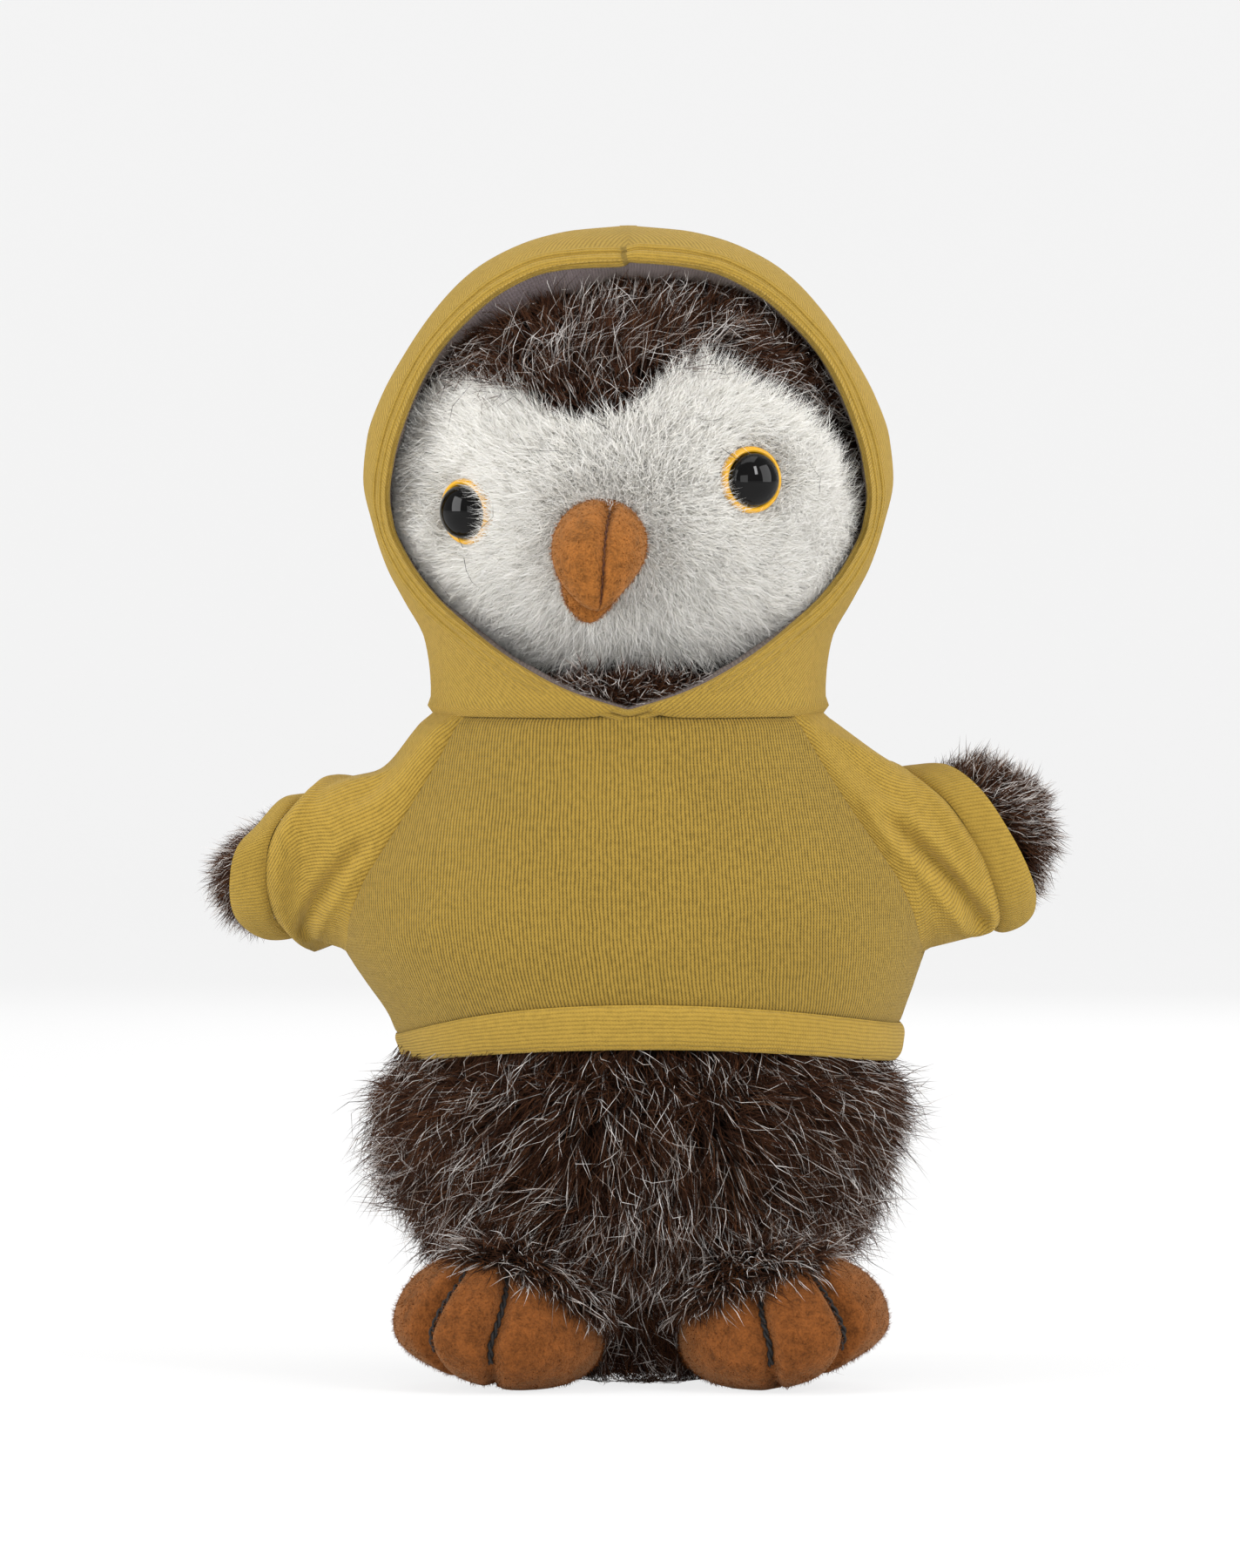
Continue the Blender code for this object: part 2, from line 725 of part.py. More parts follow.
def make_sleeve(name, frame, reach, slant, jersey):
    """A raglan sleeve from the armhole and neckline down to its cuff."""
    edge = armhole(frame.side)
    root = [armhole_point(edge, a) for a in angles(SLEEVE_POINTS)]
    walls = []
    steps = 8
    for start, grow in ((root, FIT_GAP + CLOTH), (drawn_in(root, CLOTH), FIT_GAP)):
        mouth = cuff_ring(frame, reach, slant, CUFF_BAND + SEAM_GAP, grow)
        wall = [start]
        for i in range(1, steps):
            ring = [p.lerp(q, i / steps) for p, q in zip(start, mouth)]
            wall.append([frame.outside(p, grow + SLEEVE_EASE) for p in ring])
        walls.append(wall + [mouth])
    return tube_of_cloth(name, *walls, jersey, origin=frame.pivot)


def make_cuff(name, frame, reach, slant, jersey):
    """The folded band at the end of a sleeve."""
    steps = 3
    backs = [CUFF_BAND * (1 - i / steps) for i in range(steps + 1)]
    outer = [cuff_ring(frame, reach, slant, b, FIT_GAP + CUFF_CLOTH) for b in backs]
    inner = [cuff_ring(frame, reach, slant, b, FIT_GAP) for b in backs]
    return tube_of_cloth(name, outer, inner, jersey, origin=frame.pivot)


# Hood

def hood_section(height, inset=0.0):
    """Centre, half width and half depth of the hood: it swells from the neckline, then closes."""
    start = NECK_HEIGHT + SEAM_GAP
    rise = HOOD_TOP - start
    halves = []
    neckline = top_section(NECK_HEIGHT)
    for pick, full in ((1, HOOD_WIDTH), (2, HOOD_DEPTH)):
        neck = neckline[pick]
        knots = [(start + r[0] * rise, neck + (full / 2 - neck) * r[pick]) for r in HOOD_SWELL_SHARES[:-1]]
        knots += [(start + r[0] * rise, full / 2 * r[pick]) for r in HOOD_CROWN_SHARES]
        halves.append(through(knots + [(HOOD_TOP, 0.0)], height) - inset)
    return NECK_LEAN, *halves


def hood_edge():
    """The path of the rolled edge round the face, on the hood's middle surface, from the top round."""
    low = NECK_HEIGHT + SEAM_GAP + HOOD_EDGE_RADIUS * HOOD_EDGE_NIP_SHARE + OPENING_RISE
    half = []
    count = len(OPENING_SHARES) - 1
    heights = [(i, row[0]) for i, row in enumerate(OPENING_SHARES)]
    widths = [(i, row[1]) for i, row in enumerate(OPENING_SHARES)]
    for step in range(CURVE_SAMPLES // 2 + 1):
        at = count * step / (CURVE_SAMPLES // 2)
        height = low + (OPENING_TOP - low) * through(heights, at)
        aside = OPENING_WIDTH / 2 * through(widths, at)
        half.append((aside, height))
    path = []
    for sign, points in ((RIGHT, half), (LEFT, half[-2:0:-1])):
        for aside, height in points:
            _, half_width, half_depth = hood_section(height, HOOD_CLOTH / 2)
            forward = half_depth * math.sqrt(max(1 - (aside / half_width) ** 2, 0.0))
            path.append(Vector((NECK_LEAN + sign * aside, -forward, height)))
    return path


def edge_radii(path, grow=0.0):
    """The rolled edge is nipped thin where it meets the neckline."""
    low = min(p.z for p in path)
    radii = []
    for point in path:
        full = ease((point.z - low) / (OPENING_WIDTH / 4))
        share = HOOD_EDGE_NIP_SHARE + (1 - HOOD_EDGE_NIP_SHARE) * full
        radii.append(HOOD_EDGE_RADIUS * share + grow)
    return radii


def make_hood(jersey, joint):
    """Two halves sewn over the crown, and the rolled edge of the face opening."""
    path = hood_edge()
    outline = spread([(p.x, p.z) for p in path], HOOD_EDGE_RADIUS * HOOD_EDGE_NIP_SHARE)
    opening = prism("face_opening", outline, -HOOD_DEPTH, -FACE_BACK)
    clearance = cord("edge_room", path, edge_radii(path, SEAM_GAP), EDGE_SIDES, None, closed=True)
    start = NECK_HEIGHT + SEAM_GAP
    rise = HOOD_TOP - start
    shares = [row[0] for row in HOOD_SWELL_SHARES[:-1] + HOOD_CROWN_SHARES]
    heights = [start + share * rise for share in shares]
    inner_rise = rise - HOOD_CLOTH
    inner_heights = [start + share * inner_rise for share in shares]
    outer = [ellipse(hood_section(z), z) for z in heights]
    inner = [ellipse(hood_section(z, HOOD_CLOTH), height) for z, height in zip(heights, inner_heights)]
    crown = Vector((NECK_LEAN, 0.0, HOOD_TOP))
    inner_crown = Vector((NECK_LEAN, 0.0, HOOD_TOP - HOOD_CLOTH))
    for side, name in ((LEFT, "hood_left"), (RIGHT, "hood_right")):
        half = tube_of_cloth(
            name, outer, inner, jersey, top_points=(crown, inner_crown), origin=joint.location, parent=joint
        )
        near = NECK_LEAN + side * SEAM_GAP / 2
        far = NECK_LEAN - side * HOOD_WIDTH
        low = Vector((min(near, far), -HOOD_DEPTH, 0.0))
        high = Vector((max(near, far), HOOD_DEPTH, HOOD_TOP + CUT_OVERRUN))
        combine(half, block("crown_seam_" + name, low, high))
        combine(half, opening)
        combine(half, clearance)
    place = {"origin": joint.location, "parent": joint}
    cord("hood_edge", path, edge_radii(path), EDGE_SIDES, jersey, closed=True, **place)


# Head and face

HEAD_RADII = (HEAD_WIDTH / 2, HEAD_DEPTH / 2, HEAD_HEIGHT / 2)


def face_outline(grow=0.0):
    """The heart outline of the white face, in the head's own frame."""
    half = []
    count = len(FACE_SHARES) - 1
    across = [(i, row[0]) for i, row in enumerate(FACE_SHARES)]
    upward = [(i, row[1]) for i, row in enumerate(FACE_SHARES)]
    samples = CURVE_SAMPLES // 2
    for step in range(samples + 1):
        at = count * step / samples
        half.append((HEAD_WIDTH / 2 * through(across, at), HEAD_HEIGHT / 2 * through(upward, at)))
    points = half + [(-x, z) for x, z in half[-2:0:-1]]
    return spread(points, grow)


def face_point(across, upward, inset=0.0):
    """A point of the face on or under the pile, in the head's own frame."""
    rx, ry, rz = [r - inset for r in HEAD_RADII]
    forward = ry * math.sqrt(1 - (across / rx) ** 2 - (upward / rz) ** 2)
    return Vector((across, -forward, upward))


def make_head(fur, pile, pose):
    """The fur head and the white face let into it."""
    head = ellipsoid("head", HEAD_RADII, fur, pose)
    face = ellipsoid("face_mask", HEAD_RADII, pile, pose)
    core = ellipsoid("face_core", HEAD_RADII, None, pose, shrink=FACE_PILE)
    deep_core = ellipsoid("face_core_deep", HEAD_RADII, None, pose, shrink=FACE_PILE + SEAM_GAP)
    heart = prism("face_heart", face_outline(), -HEAD_DEPTH, -FACE_BACK, pose)
    room = prism("face_room", face_outline(SEAM_GAP), -HEAD_DEPTH, SEAM_GAP - FACE_BACK, pose)
    combine(face, heart, "INTERSECT")
    combine(face, core)
    combine(room, deep_core)
    combine(head, room)
    below = Vector((-HEAD_WIDTH, -HEAD_DEPTH, 0.0))
    neck = Vector((HEAD_WIDTH, HEAD_DEPTH, NECK_HEIGHT + SEAM_GAP))
    combine(head, block("neck_plane", below, neck))
    return head, face


def make_eye(side, head, face, pose, amber, black, white):
    """One eye: ring and stem, pupil, and the washer behind the face."""
    name = "left" if side == LEFT else "right"
    surface = face_point(side * EYE_SPACING / 2, EYE_RISE)
    rx, ry, rz = HEAD_RADII
    outward = Vector((surface.x / rx ** 2, surface.y / ry ** 2, surface.z / rz ** 2)).normalized()
    seat = empty("eye_seat_" + name, surface - outward * EYE_INSET, parent=pose)
    seat.rotation_euler = outward.to_track_quat("Z", "Y").to_euler()

    behind = FACE_PILE - EYE_INSET
    hollow = WASHER_RADIUS ** 2 / (HEAD_DEPTH - 2 * FACE_PILE)
    washer_top = -behind - hollow - SEAM_GAP
    stem_end = washer_top - WASHER_THICKNESS - EYE_STEM_RADIUS
    inner = PUPIL_RADIUS + SEAM_GAP
    turned("eye_ring_" + name, (
        (0.0, EYE_RING_FLOOR), (inner, EYE_RING_FLOOR), (inner, EYE_RING_CROWN),
        ((inner + EYE_RING_RADIUS) / 2, EYE_RING_CROWN), (EYE_RING_RADIUS, EYE_RING_RIM),
        (EYE_RING_RADIUS, 0.0), (EYE_STEM_RADIUS, 0.0), (EYE_STEM_RADIUS, stem_end), (0.0, stem_end),
    ), amber, seat)

    floor = EYE_RING_FLOOR + SEAM_GAP
    shoulder_height = EYE_RING_CROWN + PUPIL_SIDE
    dome = []
    dome_steps = 6
    for i in range(dome_steps):
        a = math.pi / 2 * i / dome_steps
        dome.append((PUPIL_RADIUS * math.cos(a), shoulder_height + PUPIL_DOME * math.sin(a)))
    crown = [(0.0, shoulder_height + PUPIL_DOME)]
    turned("eye_pupil_" + name, [(0.0, floor), (PUPIL_RADIUS, floor)] + dome + crown, black, seat)

    bore = EYE_STEM_RADIUS + SEAM_GAP
    washer_low = washer_top - WASHER_THICKNESS
    turned("eye_washer_" + name, (
        (bore, washer_low), (WASHER_RADIUS, washer_low), (WASHER_RADIUS, washer_top),
        (bore, washer_top), (bore, washer_low),
    ), white, seat)

    lift = SEAM_GAP
    rim = EYE_RING_RADIUS + SEAM_GAP
    recess = turned("eye_recess_" + name, (
        (0.0, -behind - CUT_OVERRUN), (bore, -behind - CUT_OVERRUN), (bore, -lift), (rim, -lift),
        (rim, CUT_OVERRUN), (0.0, CUT_OVERRUN),
    ), None, seat)
    combine(face, recess)
    room = WASHER_RADIUS + SEAM_GAP
    pocket_floor = washer_low - WASHER_ROOM
    pocket = turned("washer_pocket_" + name, (
        (0.0, pocket_floor), (room, pocket_floor), (room, EYE_INSET), (0.0, EYE_INSET),
    ), None, seat)
    combine(head, pocket)


def beak_rings(base, length, width, height, start_angle, end_angle, seam, grow):
    """Rings of a drooping cone that starts at a base point; the first ring is grown back into the face."""
    steps = 9
    centre = base.copy()
    rings = []
    for i in range(steps):
        share = i / steps
        pitch = math.radians(start_angle + (end_angle - start_angle) * share ** BEAK_DROOP_POWER)
        along = Vector((0.0, -math.cos(pitch), -math.sin(pitch)))
        up = Vector((0.0, -math.sin(pitch), math.cos(pitch)))
        taper = (1 - share ** BEAK_TAPER_POWER) ** BEAK_TAPER_ROOT
        half_width = width / 2 * taper + grow
        half_height = height / 2 * taper + grow
        ring = []
        for a in angles(BEAK_POINTS):
            off_top = math.atan2(math.sin(a - math.pi / 2), math.cos(a - math.pi / 2))
            crease = seam * taper * math.exp(-(math.degrees(off_top) / BEAK_CREASE_ANGLE) ** 2)
            sideways = Vector((half_width * math.cos(a), 0.0, 0.0))
            ring.append(centre + sideways + up * (half_height * math.sin(a) - crease))
        rings.append(ring)
        tip = centre + along * (length / steps)
        centre = tip
    return rings, tip


def make_beak(face, pose, velour):
    """The upper and lower beak, both let into the face."""
    start = face_point(0.0, BEAK_RISE) + Vector((0.0, BEAK_INSET, 0.0))
    low_start = face_point(0.0, BEAK_RISE - LOWER_BEAK_DROP) + Vector((0.0, BEAK_INSET, 0.0))
    upper = (BEAK_LENGTH, BEAK_WIDTH, BEAK_HEIGHT, BEAK_START_ANGLE, BEAK_END_ANGLE)
    lower = (
        LOWER_BEAK_LENGTH, LOWER_BEAK_WIDTH, LOWER_BEAK_HEIGHT, LOWER_BEAK_START_ANGLE, LOWER_BEAK_END_ANGLE
    )
    inward = Vector((0.0, SEAM_GAP, 0.0))
    forms = {}
    pair = (("beak_upper", start, upper, BEAK_SEAM), ("beak_lower", low_start, lower, 0.0))
    for name, base, sizes, seam in pair:
        rings, tip = beak_rings(base, *sizes, seam, 0.0)
        forms[name] = stuffed(name, rings, velour, end_point=tip, parent=pose)
        rings, tip = beak_rings(base, *sizes, 0.0, SEAM_GAP)
        rings[0] = [p + inward for p in rings[0]]
        room = stuffed(name + "_room", rings, None, end_point=tip - Vector((0, 0, SEAM_GAP)), parent=pose)
        combine(face, room)
        forms[name + "_room"] = room
    combine(forms["beak_lower"], forms["beak_upper_room"])


# Feet

def foot_columns():
    """Angles round a foot from straight ahead, closer together at the two toe creases."""
    close = TOE_CREASE_ANGLE / 2
    count = 30
    base = [360 * i / count - 180 for i in range(count)]
    extra = [sign * (TOE_ANGLE + step) for sign in (-1, 1) for step in (-close, 0.0, close)]
    kept = [a for a in base if all(abs(a - e) > close / 2 for e in extra)]
    return [math.radians(a) for a in sorted(kept + extra)]


def foot_point(around, lift):
    """A point of a foot in its own frame, toes along -Y; lift is the angle up its side."""
    forward = FOOT_FRONT if abs(around) < math.pi / 2 else FOOT_REAR
    plan = 1 / math.sqrt((math.sin(around) / (FOOT_WIDTH / 2)) ** 2 + (math.cos(around) / forward) ** 2)
    crease = 0.0
    for sign in (-1, 1):
        off = math.degrees(around) - sign * TOE_ANGLE
        crease += TOE_CREASE * math.exp(-(off / TOE_CREASE_ANGLE) ** 2)
    if lift >= 0:
        height = FOOT_MIDDLE_HEIGHT + (FOOT_HEIGHT - FOOT_MIDDLE_HEIGHT) * math.sin(lift)
        reach = math.cos(lift) ** FOOT_CROWN_POWER
    else:
        height = FOOT_MIDDLE_HEIGHT + (FOOT_MIDDLE_HEIGHT + FLOOR_FLAT) * math.sin(lift)
        reach = math.cos(lift) ** FOOT_SOLE_POWER
    radius = (plan - crease) * reach
    return Vector((radius * math.sin(around), -radius * math.cos(around), height))


def make_foot(side, body_room, velour, thread):
    """One foot with three toes, and the two threads drawn over them."""
    name = "left" if side == LEFT else "right"
    frame = empty("foot_frame_" + name, (side * FOOT_SPREAD / 2, -FOOT_FORWARD, 0.0))
    frame.rotation_euler = (0, 0, side * math.radians(FOOT_SPLAY))
    sole = -math.asin(FOOT_MIDDLE_HEIGHT / (FOOT_MIDDLE_HEIGHT + FLOOR_FLAT))
    sole_shares = (1.0, 0.7, 0.35, 0.0)
    crown_shares = (0.2, 0.4, 0.58, 0.75, 0.9)
    lifts = [sole * share for share in sole_shares] + [math.pi / 2 * share for share in crown_shares]
    rings = [[foot_point(a, lift) for a in foot_columns()] for lift in lifts]
    top = Vector((0.0, 0.0, FOOT_HEIGHT))
    foot = stuffed("foot_" + name, rings, velour, end_point=top, parent=frame)
    combine(foot, body_room)

    steps = 9
    span = TOE_THREAD_FOOT_ANGLE - TOE_THREAD_TOP_ANGLE
    for sign, place in ((-side, "inner"), (side, "outer")):
        groove = []
        for i in range(-1, steps + 2):
            lift = math.radians(TOE_THREAD_TOP_ANGLE + span * i / steps)
            groove.append(foot_point(sign * math.radians(TOE_ANGLE), lift))
        path = []
        for before, point, after in zip(groove, groove[1:], groove[2:]):
            along = (after - before).normalized()
            level = Vector((-point.y, point.x, 0.0)).normalized()
            outward = along.cross(level)
            if outward.dot(Vector((point.x, point.y, 0.0))) < 0:
                outward = -outward
            path.append(point + outward * (TOE_THREAD_RADIUS + SEAM_GAP))
        radii = [TOE_THREAD_RADIUS] * len(path)
        radii[0] = radii[-1] = TOE_THREAD_RADIUS / 2
        cord("toe_thread_" + name + "_" + place, path, radii, THREAD_SIDES, thread, parent=frame)


# The whole owl

def main():
    for obj in list(bpy.data.objects):
        bpy.data.objects.remove(obj)

    fur = finish("brown_fur", 78, 62, 54, 0.95)
    pile = finish("white_pile", 222, 219, 210, 0.95)
    jersey = finish("mustard_jersey", 188, 156, 74, 0.9)
    velour = finish("rust_velour", 156, 96, 48, 0.9)
    thread = finish("black_thread", 24, 22, 22, 0.7)
    amber = finish("yellow_plastic", 214, 168, 44, 0.25)
    black = finish("black_plastic", 14, 13, 13, 0.08)
    white = finish("white_plastic", 226, 226, 222, 0.5)

    make_body(fur)
    room_rings = [ellipse(body_section(z, FIT_GAP), z) for z in body_heights() if z <= HEM_HEIGHT]
    room_rings[0] = [p - Vector((0, 0, CUT_OVERRUN)) for p in room_rings[0]]
    body_room = stuffed("body_room", room_rings, None)

    make_panel("hoodie_front", -1, jersey)
    make_panel("hoodie_back", 1, jersey)
    make_hem(jersey)

    left = WingFrame(LEFT, LEFT_WING_LIFT, LEFT_WING_TWIST)
    right = WingFrame(RIGHT, RIGHT_WING_LIFT, RIGHT_WING_TWIST)
    for name, frame, reach, slant in (
        ("left", left, LEFT_CUFF_REACH, LEFT_CUFF_SLANT),
        ("right", right, RIGHT_CUFF_REACH, RIGHT_CUFF_SLANT),
    ):
        make_wing("wing_" + name, frame, fur)
        make_sleeve("sleeve_" + name, frame, reach, slant, jersey)
        make_cuff("cuff_" + name, frame, reach, slant, jersey)

    neck_joint = empty("neck_joint", Vector((NECK_LEAN, 0.0, NECK_HEIGHT)))
    turn = Matrix.Rotation(math.radians(HEAD_TURN), 4, "Z")
    tip = Matrix.Rotation(math.radians(HEAD_TIP), 4, "Y")
    centre = Vector((0.0, HEAD_BACK, HEAD_CENTRE_HEIGHT - NECK_HEIGHT))
    pose = empty("head_pose", centre, (tip @ turn).to_euler(), neck_joint)
    make_hood(jersey, neck_joint)
    head, face = make_head(fur, pile, pose)
    for side in (LEFT, RIGHT):
        make_eye(side, head, face, pose, amber, black, white)
    make_beak(face, pose, velour)

    for side in (LEFT, RIGHT):
        make_foot(side, body_room, velour, thread)


main()
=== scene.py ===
"""Dresses the plush owl: fur pile, knitted top, eyes, beak and feet, on a white stage.

Metres, +Z up, the face looks along -Y. Left is the side of -X.
"""

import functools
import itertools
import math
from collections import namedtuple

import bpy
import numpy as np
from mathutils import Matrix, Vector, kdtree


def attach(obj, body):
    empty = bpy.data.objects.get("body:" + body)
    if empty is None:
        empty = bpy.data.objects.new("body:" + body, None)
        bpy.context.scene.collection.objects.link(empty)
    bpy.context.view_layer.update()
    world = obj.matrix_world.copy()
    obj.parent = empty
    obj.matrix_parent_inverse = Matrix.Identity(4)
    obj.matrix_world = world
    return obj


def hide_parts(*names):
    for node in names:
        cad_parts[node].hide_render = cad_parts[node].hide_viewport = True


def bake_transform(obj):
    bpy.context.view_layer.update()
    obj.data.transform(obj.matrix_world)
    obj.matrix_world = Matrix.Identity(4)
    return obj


bl_info = {
    "name": "Plush Owl Dresser",
    "version": (1, 0, 0),
    "blender": (4, 5, 0),
    "location": "View3D > Sidebar > Plush Owl",
    "description": "Grows the pile and knits the hooded top of a plush owl",
    "category": "Object",
}

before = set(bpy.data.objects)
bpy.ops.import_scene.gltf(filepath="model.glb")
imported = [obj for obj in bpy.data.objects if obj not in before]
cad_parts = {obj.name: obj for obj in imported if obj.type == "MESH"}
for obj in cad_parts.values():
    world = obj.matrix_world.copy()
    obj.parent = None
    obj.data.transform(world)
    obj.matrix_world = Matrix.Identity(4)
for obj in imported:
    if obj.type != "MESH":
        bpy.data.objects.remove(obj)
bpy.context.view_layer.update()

MM = 0.001
LEFT = -1
RIGHT = 1
SIDES = ((LEFT, "left"), (RIGHT, "right"))
FORWARD = np.array((0.0, -1.0, 0.0))

# Body and top, as the frame has them
BODY_WIDTH = 0.0925
BODY_DEPTH = 0.0830
NECK_HEIGHT = 0.1150
NECK_LEAN = -0.0022
NECK_BEND = ("torso", "head", (NECK_LEAN, 0.0, NECK_HEIGHT), (NECK_LEAN, 0.0, NECK_HEIGHT + 0.014))
HEM_HEIGHT = 0.0550
HEM_BAND = 0.0065
HEM_ARCH = 0.0034
HEM_TOP_ARCH = 0.0012
HEM_SIDE_DROP = 0.0020
HEM_SIDE_DRAW = 0.0014
HEM_SHIFT = 0.0016
HEM_SHIFT_HEIGHT = 0.0590
HEM_SHIFT_REACH = 0.0120
HEM_SIDE_REACH = 0.0090
HEM_PROUD = 0.0007
ARMPIT_HEIGHT = 0.0742
TOP_WIDTH = 0.1035
TOP_DEPTH = 0.0820
RAGLAN_ANGLE = 31.0
CLOTH = 0.0012
FIT_GAP = 0.0004
SEAM_GAP = 0.0003
SHEET_SIDE = 0.0101  # height of the lining's knit map, just over 10 mm; just over the least side that a sheet may have
BODY_WIDTH_SHARES = (
    (0.000, 0.39), (0.050, 0.50), (0.145, 0.60), (0.310, 0.69), (0.430, 0.78), (0.570, 0.89),
    (0.760, 0.97), (0.890, 1.00),
)
BODY_DEPTH_SHARES = (
    (0.000, 0.43), (0.050, 0.54), (0.145, 0.65), (0.310, 0.74), (0.430, 0.82), (0.570, 0.91),
    (0.760, 0.98), (0.890, 1.00),
)
CHEST_SHARES = ((0.00, 1.00), (0.14, 0.97), (0.34, 0.81), (0.47, 0.76), (0.64, 0.74), (0.82, 0.72), (1.00, 0.71))
TOP_WIDTH_SHARES = (
    (0.00, 0.855), (0.12, 0.875), (0.23, 0.930), (0.34, 0.985), (0.42, 1.000), (0.52, 0.980),
    (0.62, 0.925), (0.75, 0.835), (0.88, 0.742), (1.00, 0.661),
)
TOP_DEPTH_SHARES = (
    (0.00, 0.970), (0.12, 0.985), (0.23, 0.995), (0.34, 1.000), (0.42, 0.990), (0.52, 0.970),
    (0.62, 0.940), (0.75, 0.890), (0.88, 0.825), (1.00, 0.760),
)
RAGLAN_SHARES = (
    (0.00, 0.00), (0.05, 0.30), (0.13, 0.52), (0.24, 0.67), (0.40, 0.80), (0.58, 0.89), (0.79, 0.96),
    (1.00, 1.00),
)

# Head and hood
HEAD_RADII = (0.0408, 0.0355, 0.0400)
HEAD_CENTRE = Vector((NECK_LEAN, 0.0015, 0.1545))
HEAD_TURN = -8.0
HEAD_TIP = -6.4
HOOD_CLOTH = 0.0016
HOOD_WIDTH = 0.0922
HOOD_DEPTH = 0.0830
HOOD_TOP = 0.2000
OPENING_WIDTH = 0.0842
OPENING_TOP = 0.1936
OPENING_LOW = 0.0008
HOOD_EDGE_NIP_SHARE = 0.55
HOOD_WALE_SLOPE = 32.0
HOOD_KNIT_RADIUS = 0.030
EDGE_STEP = 0.0004
HOOD_WIDTH_SHARES = ((0.000, 0.00), (0.075, 0.02), (0.150, 0.10), (0.230, 0.40), (0.300, 0.66), (0.385, 0.86))
HOOD_DEPTH_SHARES = ((0.000, 0.00), (0.075, 0.31), (0.150, 0.56), (0.230, 0.76), (0.300, 0.88), (0.385, 0.96))
CROWN_WIDTH_SHARES = (
    (0.480, 1.000), (0.565, 0.985), (0.645, 0.935), (0.740, 0.840), (0.830, 0.725), (0.905, 0.590),
    (0.958, 0.420), (0.988, 0.230),
)
CROWN_DEPTH_SHARES = (
    (0.480, 1.000), (0.565, 0.995), (0.645, 0.965), (0.740, 0.890), (0.830, 0.780), (0.905, 0.640),
    (0.958, 0.460), (0.988, 0.260),
)
OPENING_SHARES = (
    (1.000, 0.000), (0.996, 0.170), (0.983, 0.340), (0.936, 0.530), (0.865, 0.687), (0.782, 0.815),
    (0.680, 0.910), (0.560, 0.980), (0.475, 1.000), (0.410, 0.985), (0.335, 0.922), (0.256, 0.815),
    (0.177, 0.650), (0.094, 0.430), (0.040, 0.230), (0.000, 0.000),
)
FACE_SHARES = (
    (0.00, 0.29), (0.14, 0.32), (0.33, 0.46), (0.51, 0.53), (0.71, 0.47), (0.87, 0.31), (0.955, 0.10),
    (0.97, -0.12), (0.89, -0.42), (0.66, -0.65), (0.36, -0.73), (0.00, -0.75),
)
FACE_WAIST = -0.0040
FACE_SHOULDER_DROP = 0.0052
FACE_CHIN_DROP = 0.0022
FACE_LEFT_SHARE = 1.06

# Eyes and beak
EYE_SPACING = 0.0524
EYE_RISE = -0.0010
EYE_INSET = 0.0030
EYE_CLEAR = 0.0060
SPIN_STEPS = 64
BEAK_RISE = -0.0085
BEAK_INSET = 0.0030
BEAK_CREASE_ANGLE = 8.5
BEAK_SEAM_TURN = 19.0
BEAK_DROOP_POWER = 1.3
BEAK_TAPER_POWER = 2.3
BEAK_TAPER_ROOT = 0.60
BEAK_ROWS = 40
BEAK_SIDES = 96

# Wings
WING_LENGTH = 0.0325
WING_HEIGHT = 0.0298
WING_DEPTH = 0.0170
WING_ROOT_RADIUS = 0.0105
WING_WIDEST_SHARE = 0.60
WING_FULL_WITHIN = 0.010
WING_ROOT_ROOM = 0.0010
SHOULDER_SHARE = 0.455
SHOULDER_SEAT = 0.0025
CUFF_BAND = 0.0066
CUFF_CLOTH = 0.0016
SLEEVE_EASE = 0.0012
SLEEVE_TUCK = 0.0014
CUFF_LAID_SHARE = 0.80
WING_LIFT = {LEFT: -14.0, RIGHT: 8.0}
WING_TWIST = {LEFT: 38.0, RIGHT: 0.0}
CUFF_REACH = {LEFT: 0.0200, RIGHT: 0.0182}
CUFF_BULGE = {LEFT: 0.0070, RIGHT: 0.0046}
WING_TOP_SHARE = {LEFT: 0.80, RIGHT: 0.90}
WING_TOP_FALL = {LEFT: 0.34, RIGHT: 0.10}
WING_TOP_FROM = {LEFT: 0.014, RIGHT: 0.005}
WING_FOOT_SHARE = {LEFT: 0.78, RIGHT: 1.10}
CUFF_SLANT = {LEFT: 0.0052, RIGHT: 0.0068}
SHOULDER_SAG = {LEFT: 0.0034, RIGHT: 0.0}
# Two distances along a slope (aside, up) for each sleeve, passed to tie with its bodies
SLEEVE_BEND = {LEFT: (0.0768, 0.0852), RIGHT: (0.0750, 0.0795)}
SLEEVE_BEND_SLOPE = (0.92, 0.39)

# Feet
FOOT_WIDTH = 0.0360
FOOT_FRONT = 0.0190
FOOT_REAR = 0.0210
FOOT_MIDDLE_HEIGHT = 0.0080
FOOT_HEIGHT = 0.0235
FOOT_SPREAD = 0.0492
FOOT_FORWARD = 0.0305
FOOT_SPLAY = 10.0
FOOT_SOLE_SHARE = 0.12
FOOT_TOP_REAR = 0.016 - FOOT_FORWARD
FLOOR_FLAT = 0.0005
TOE_ANGLES = {LEFT: (6.0, -34.0), RIGHT: (-19.0, 28.0)}
TOE_SLANT = 15.0
TOE_CREASE = 0.0028
TOE_CREASE_ANGLE = 5.5
OUTER_TOE_RISE = {LEFT: 0.0042, RIGHT: 0.0055}
TOE_THREAD_TOP = 62.0
TOE_THREAD_FOOT = -28.0
PLY_LAY = 0.0036
PLY_SIDES = 8

# Knit and nap: stitch sizes and depths of relief
WALE = 0.00062
COURSE = 0.00050
KNIT_DEPTH = 0.00024
NAP_DEPTH = 0.00022
UV_LEVEL = 0.0020

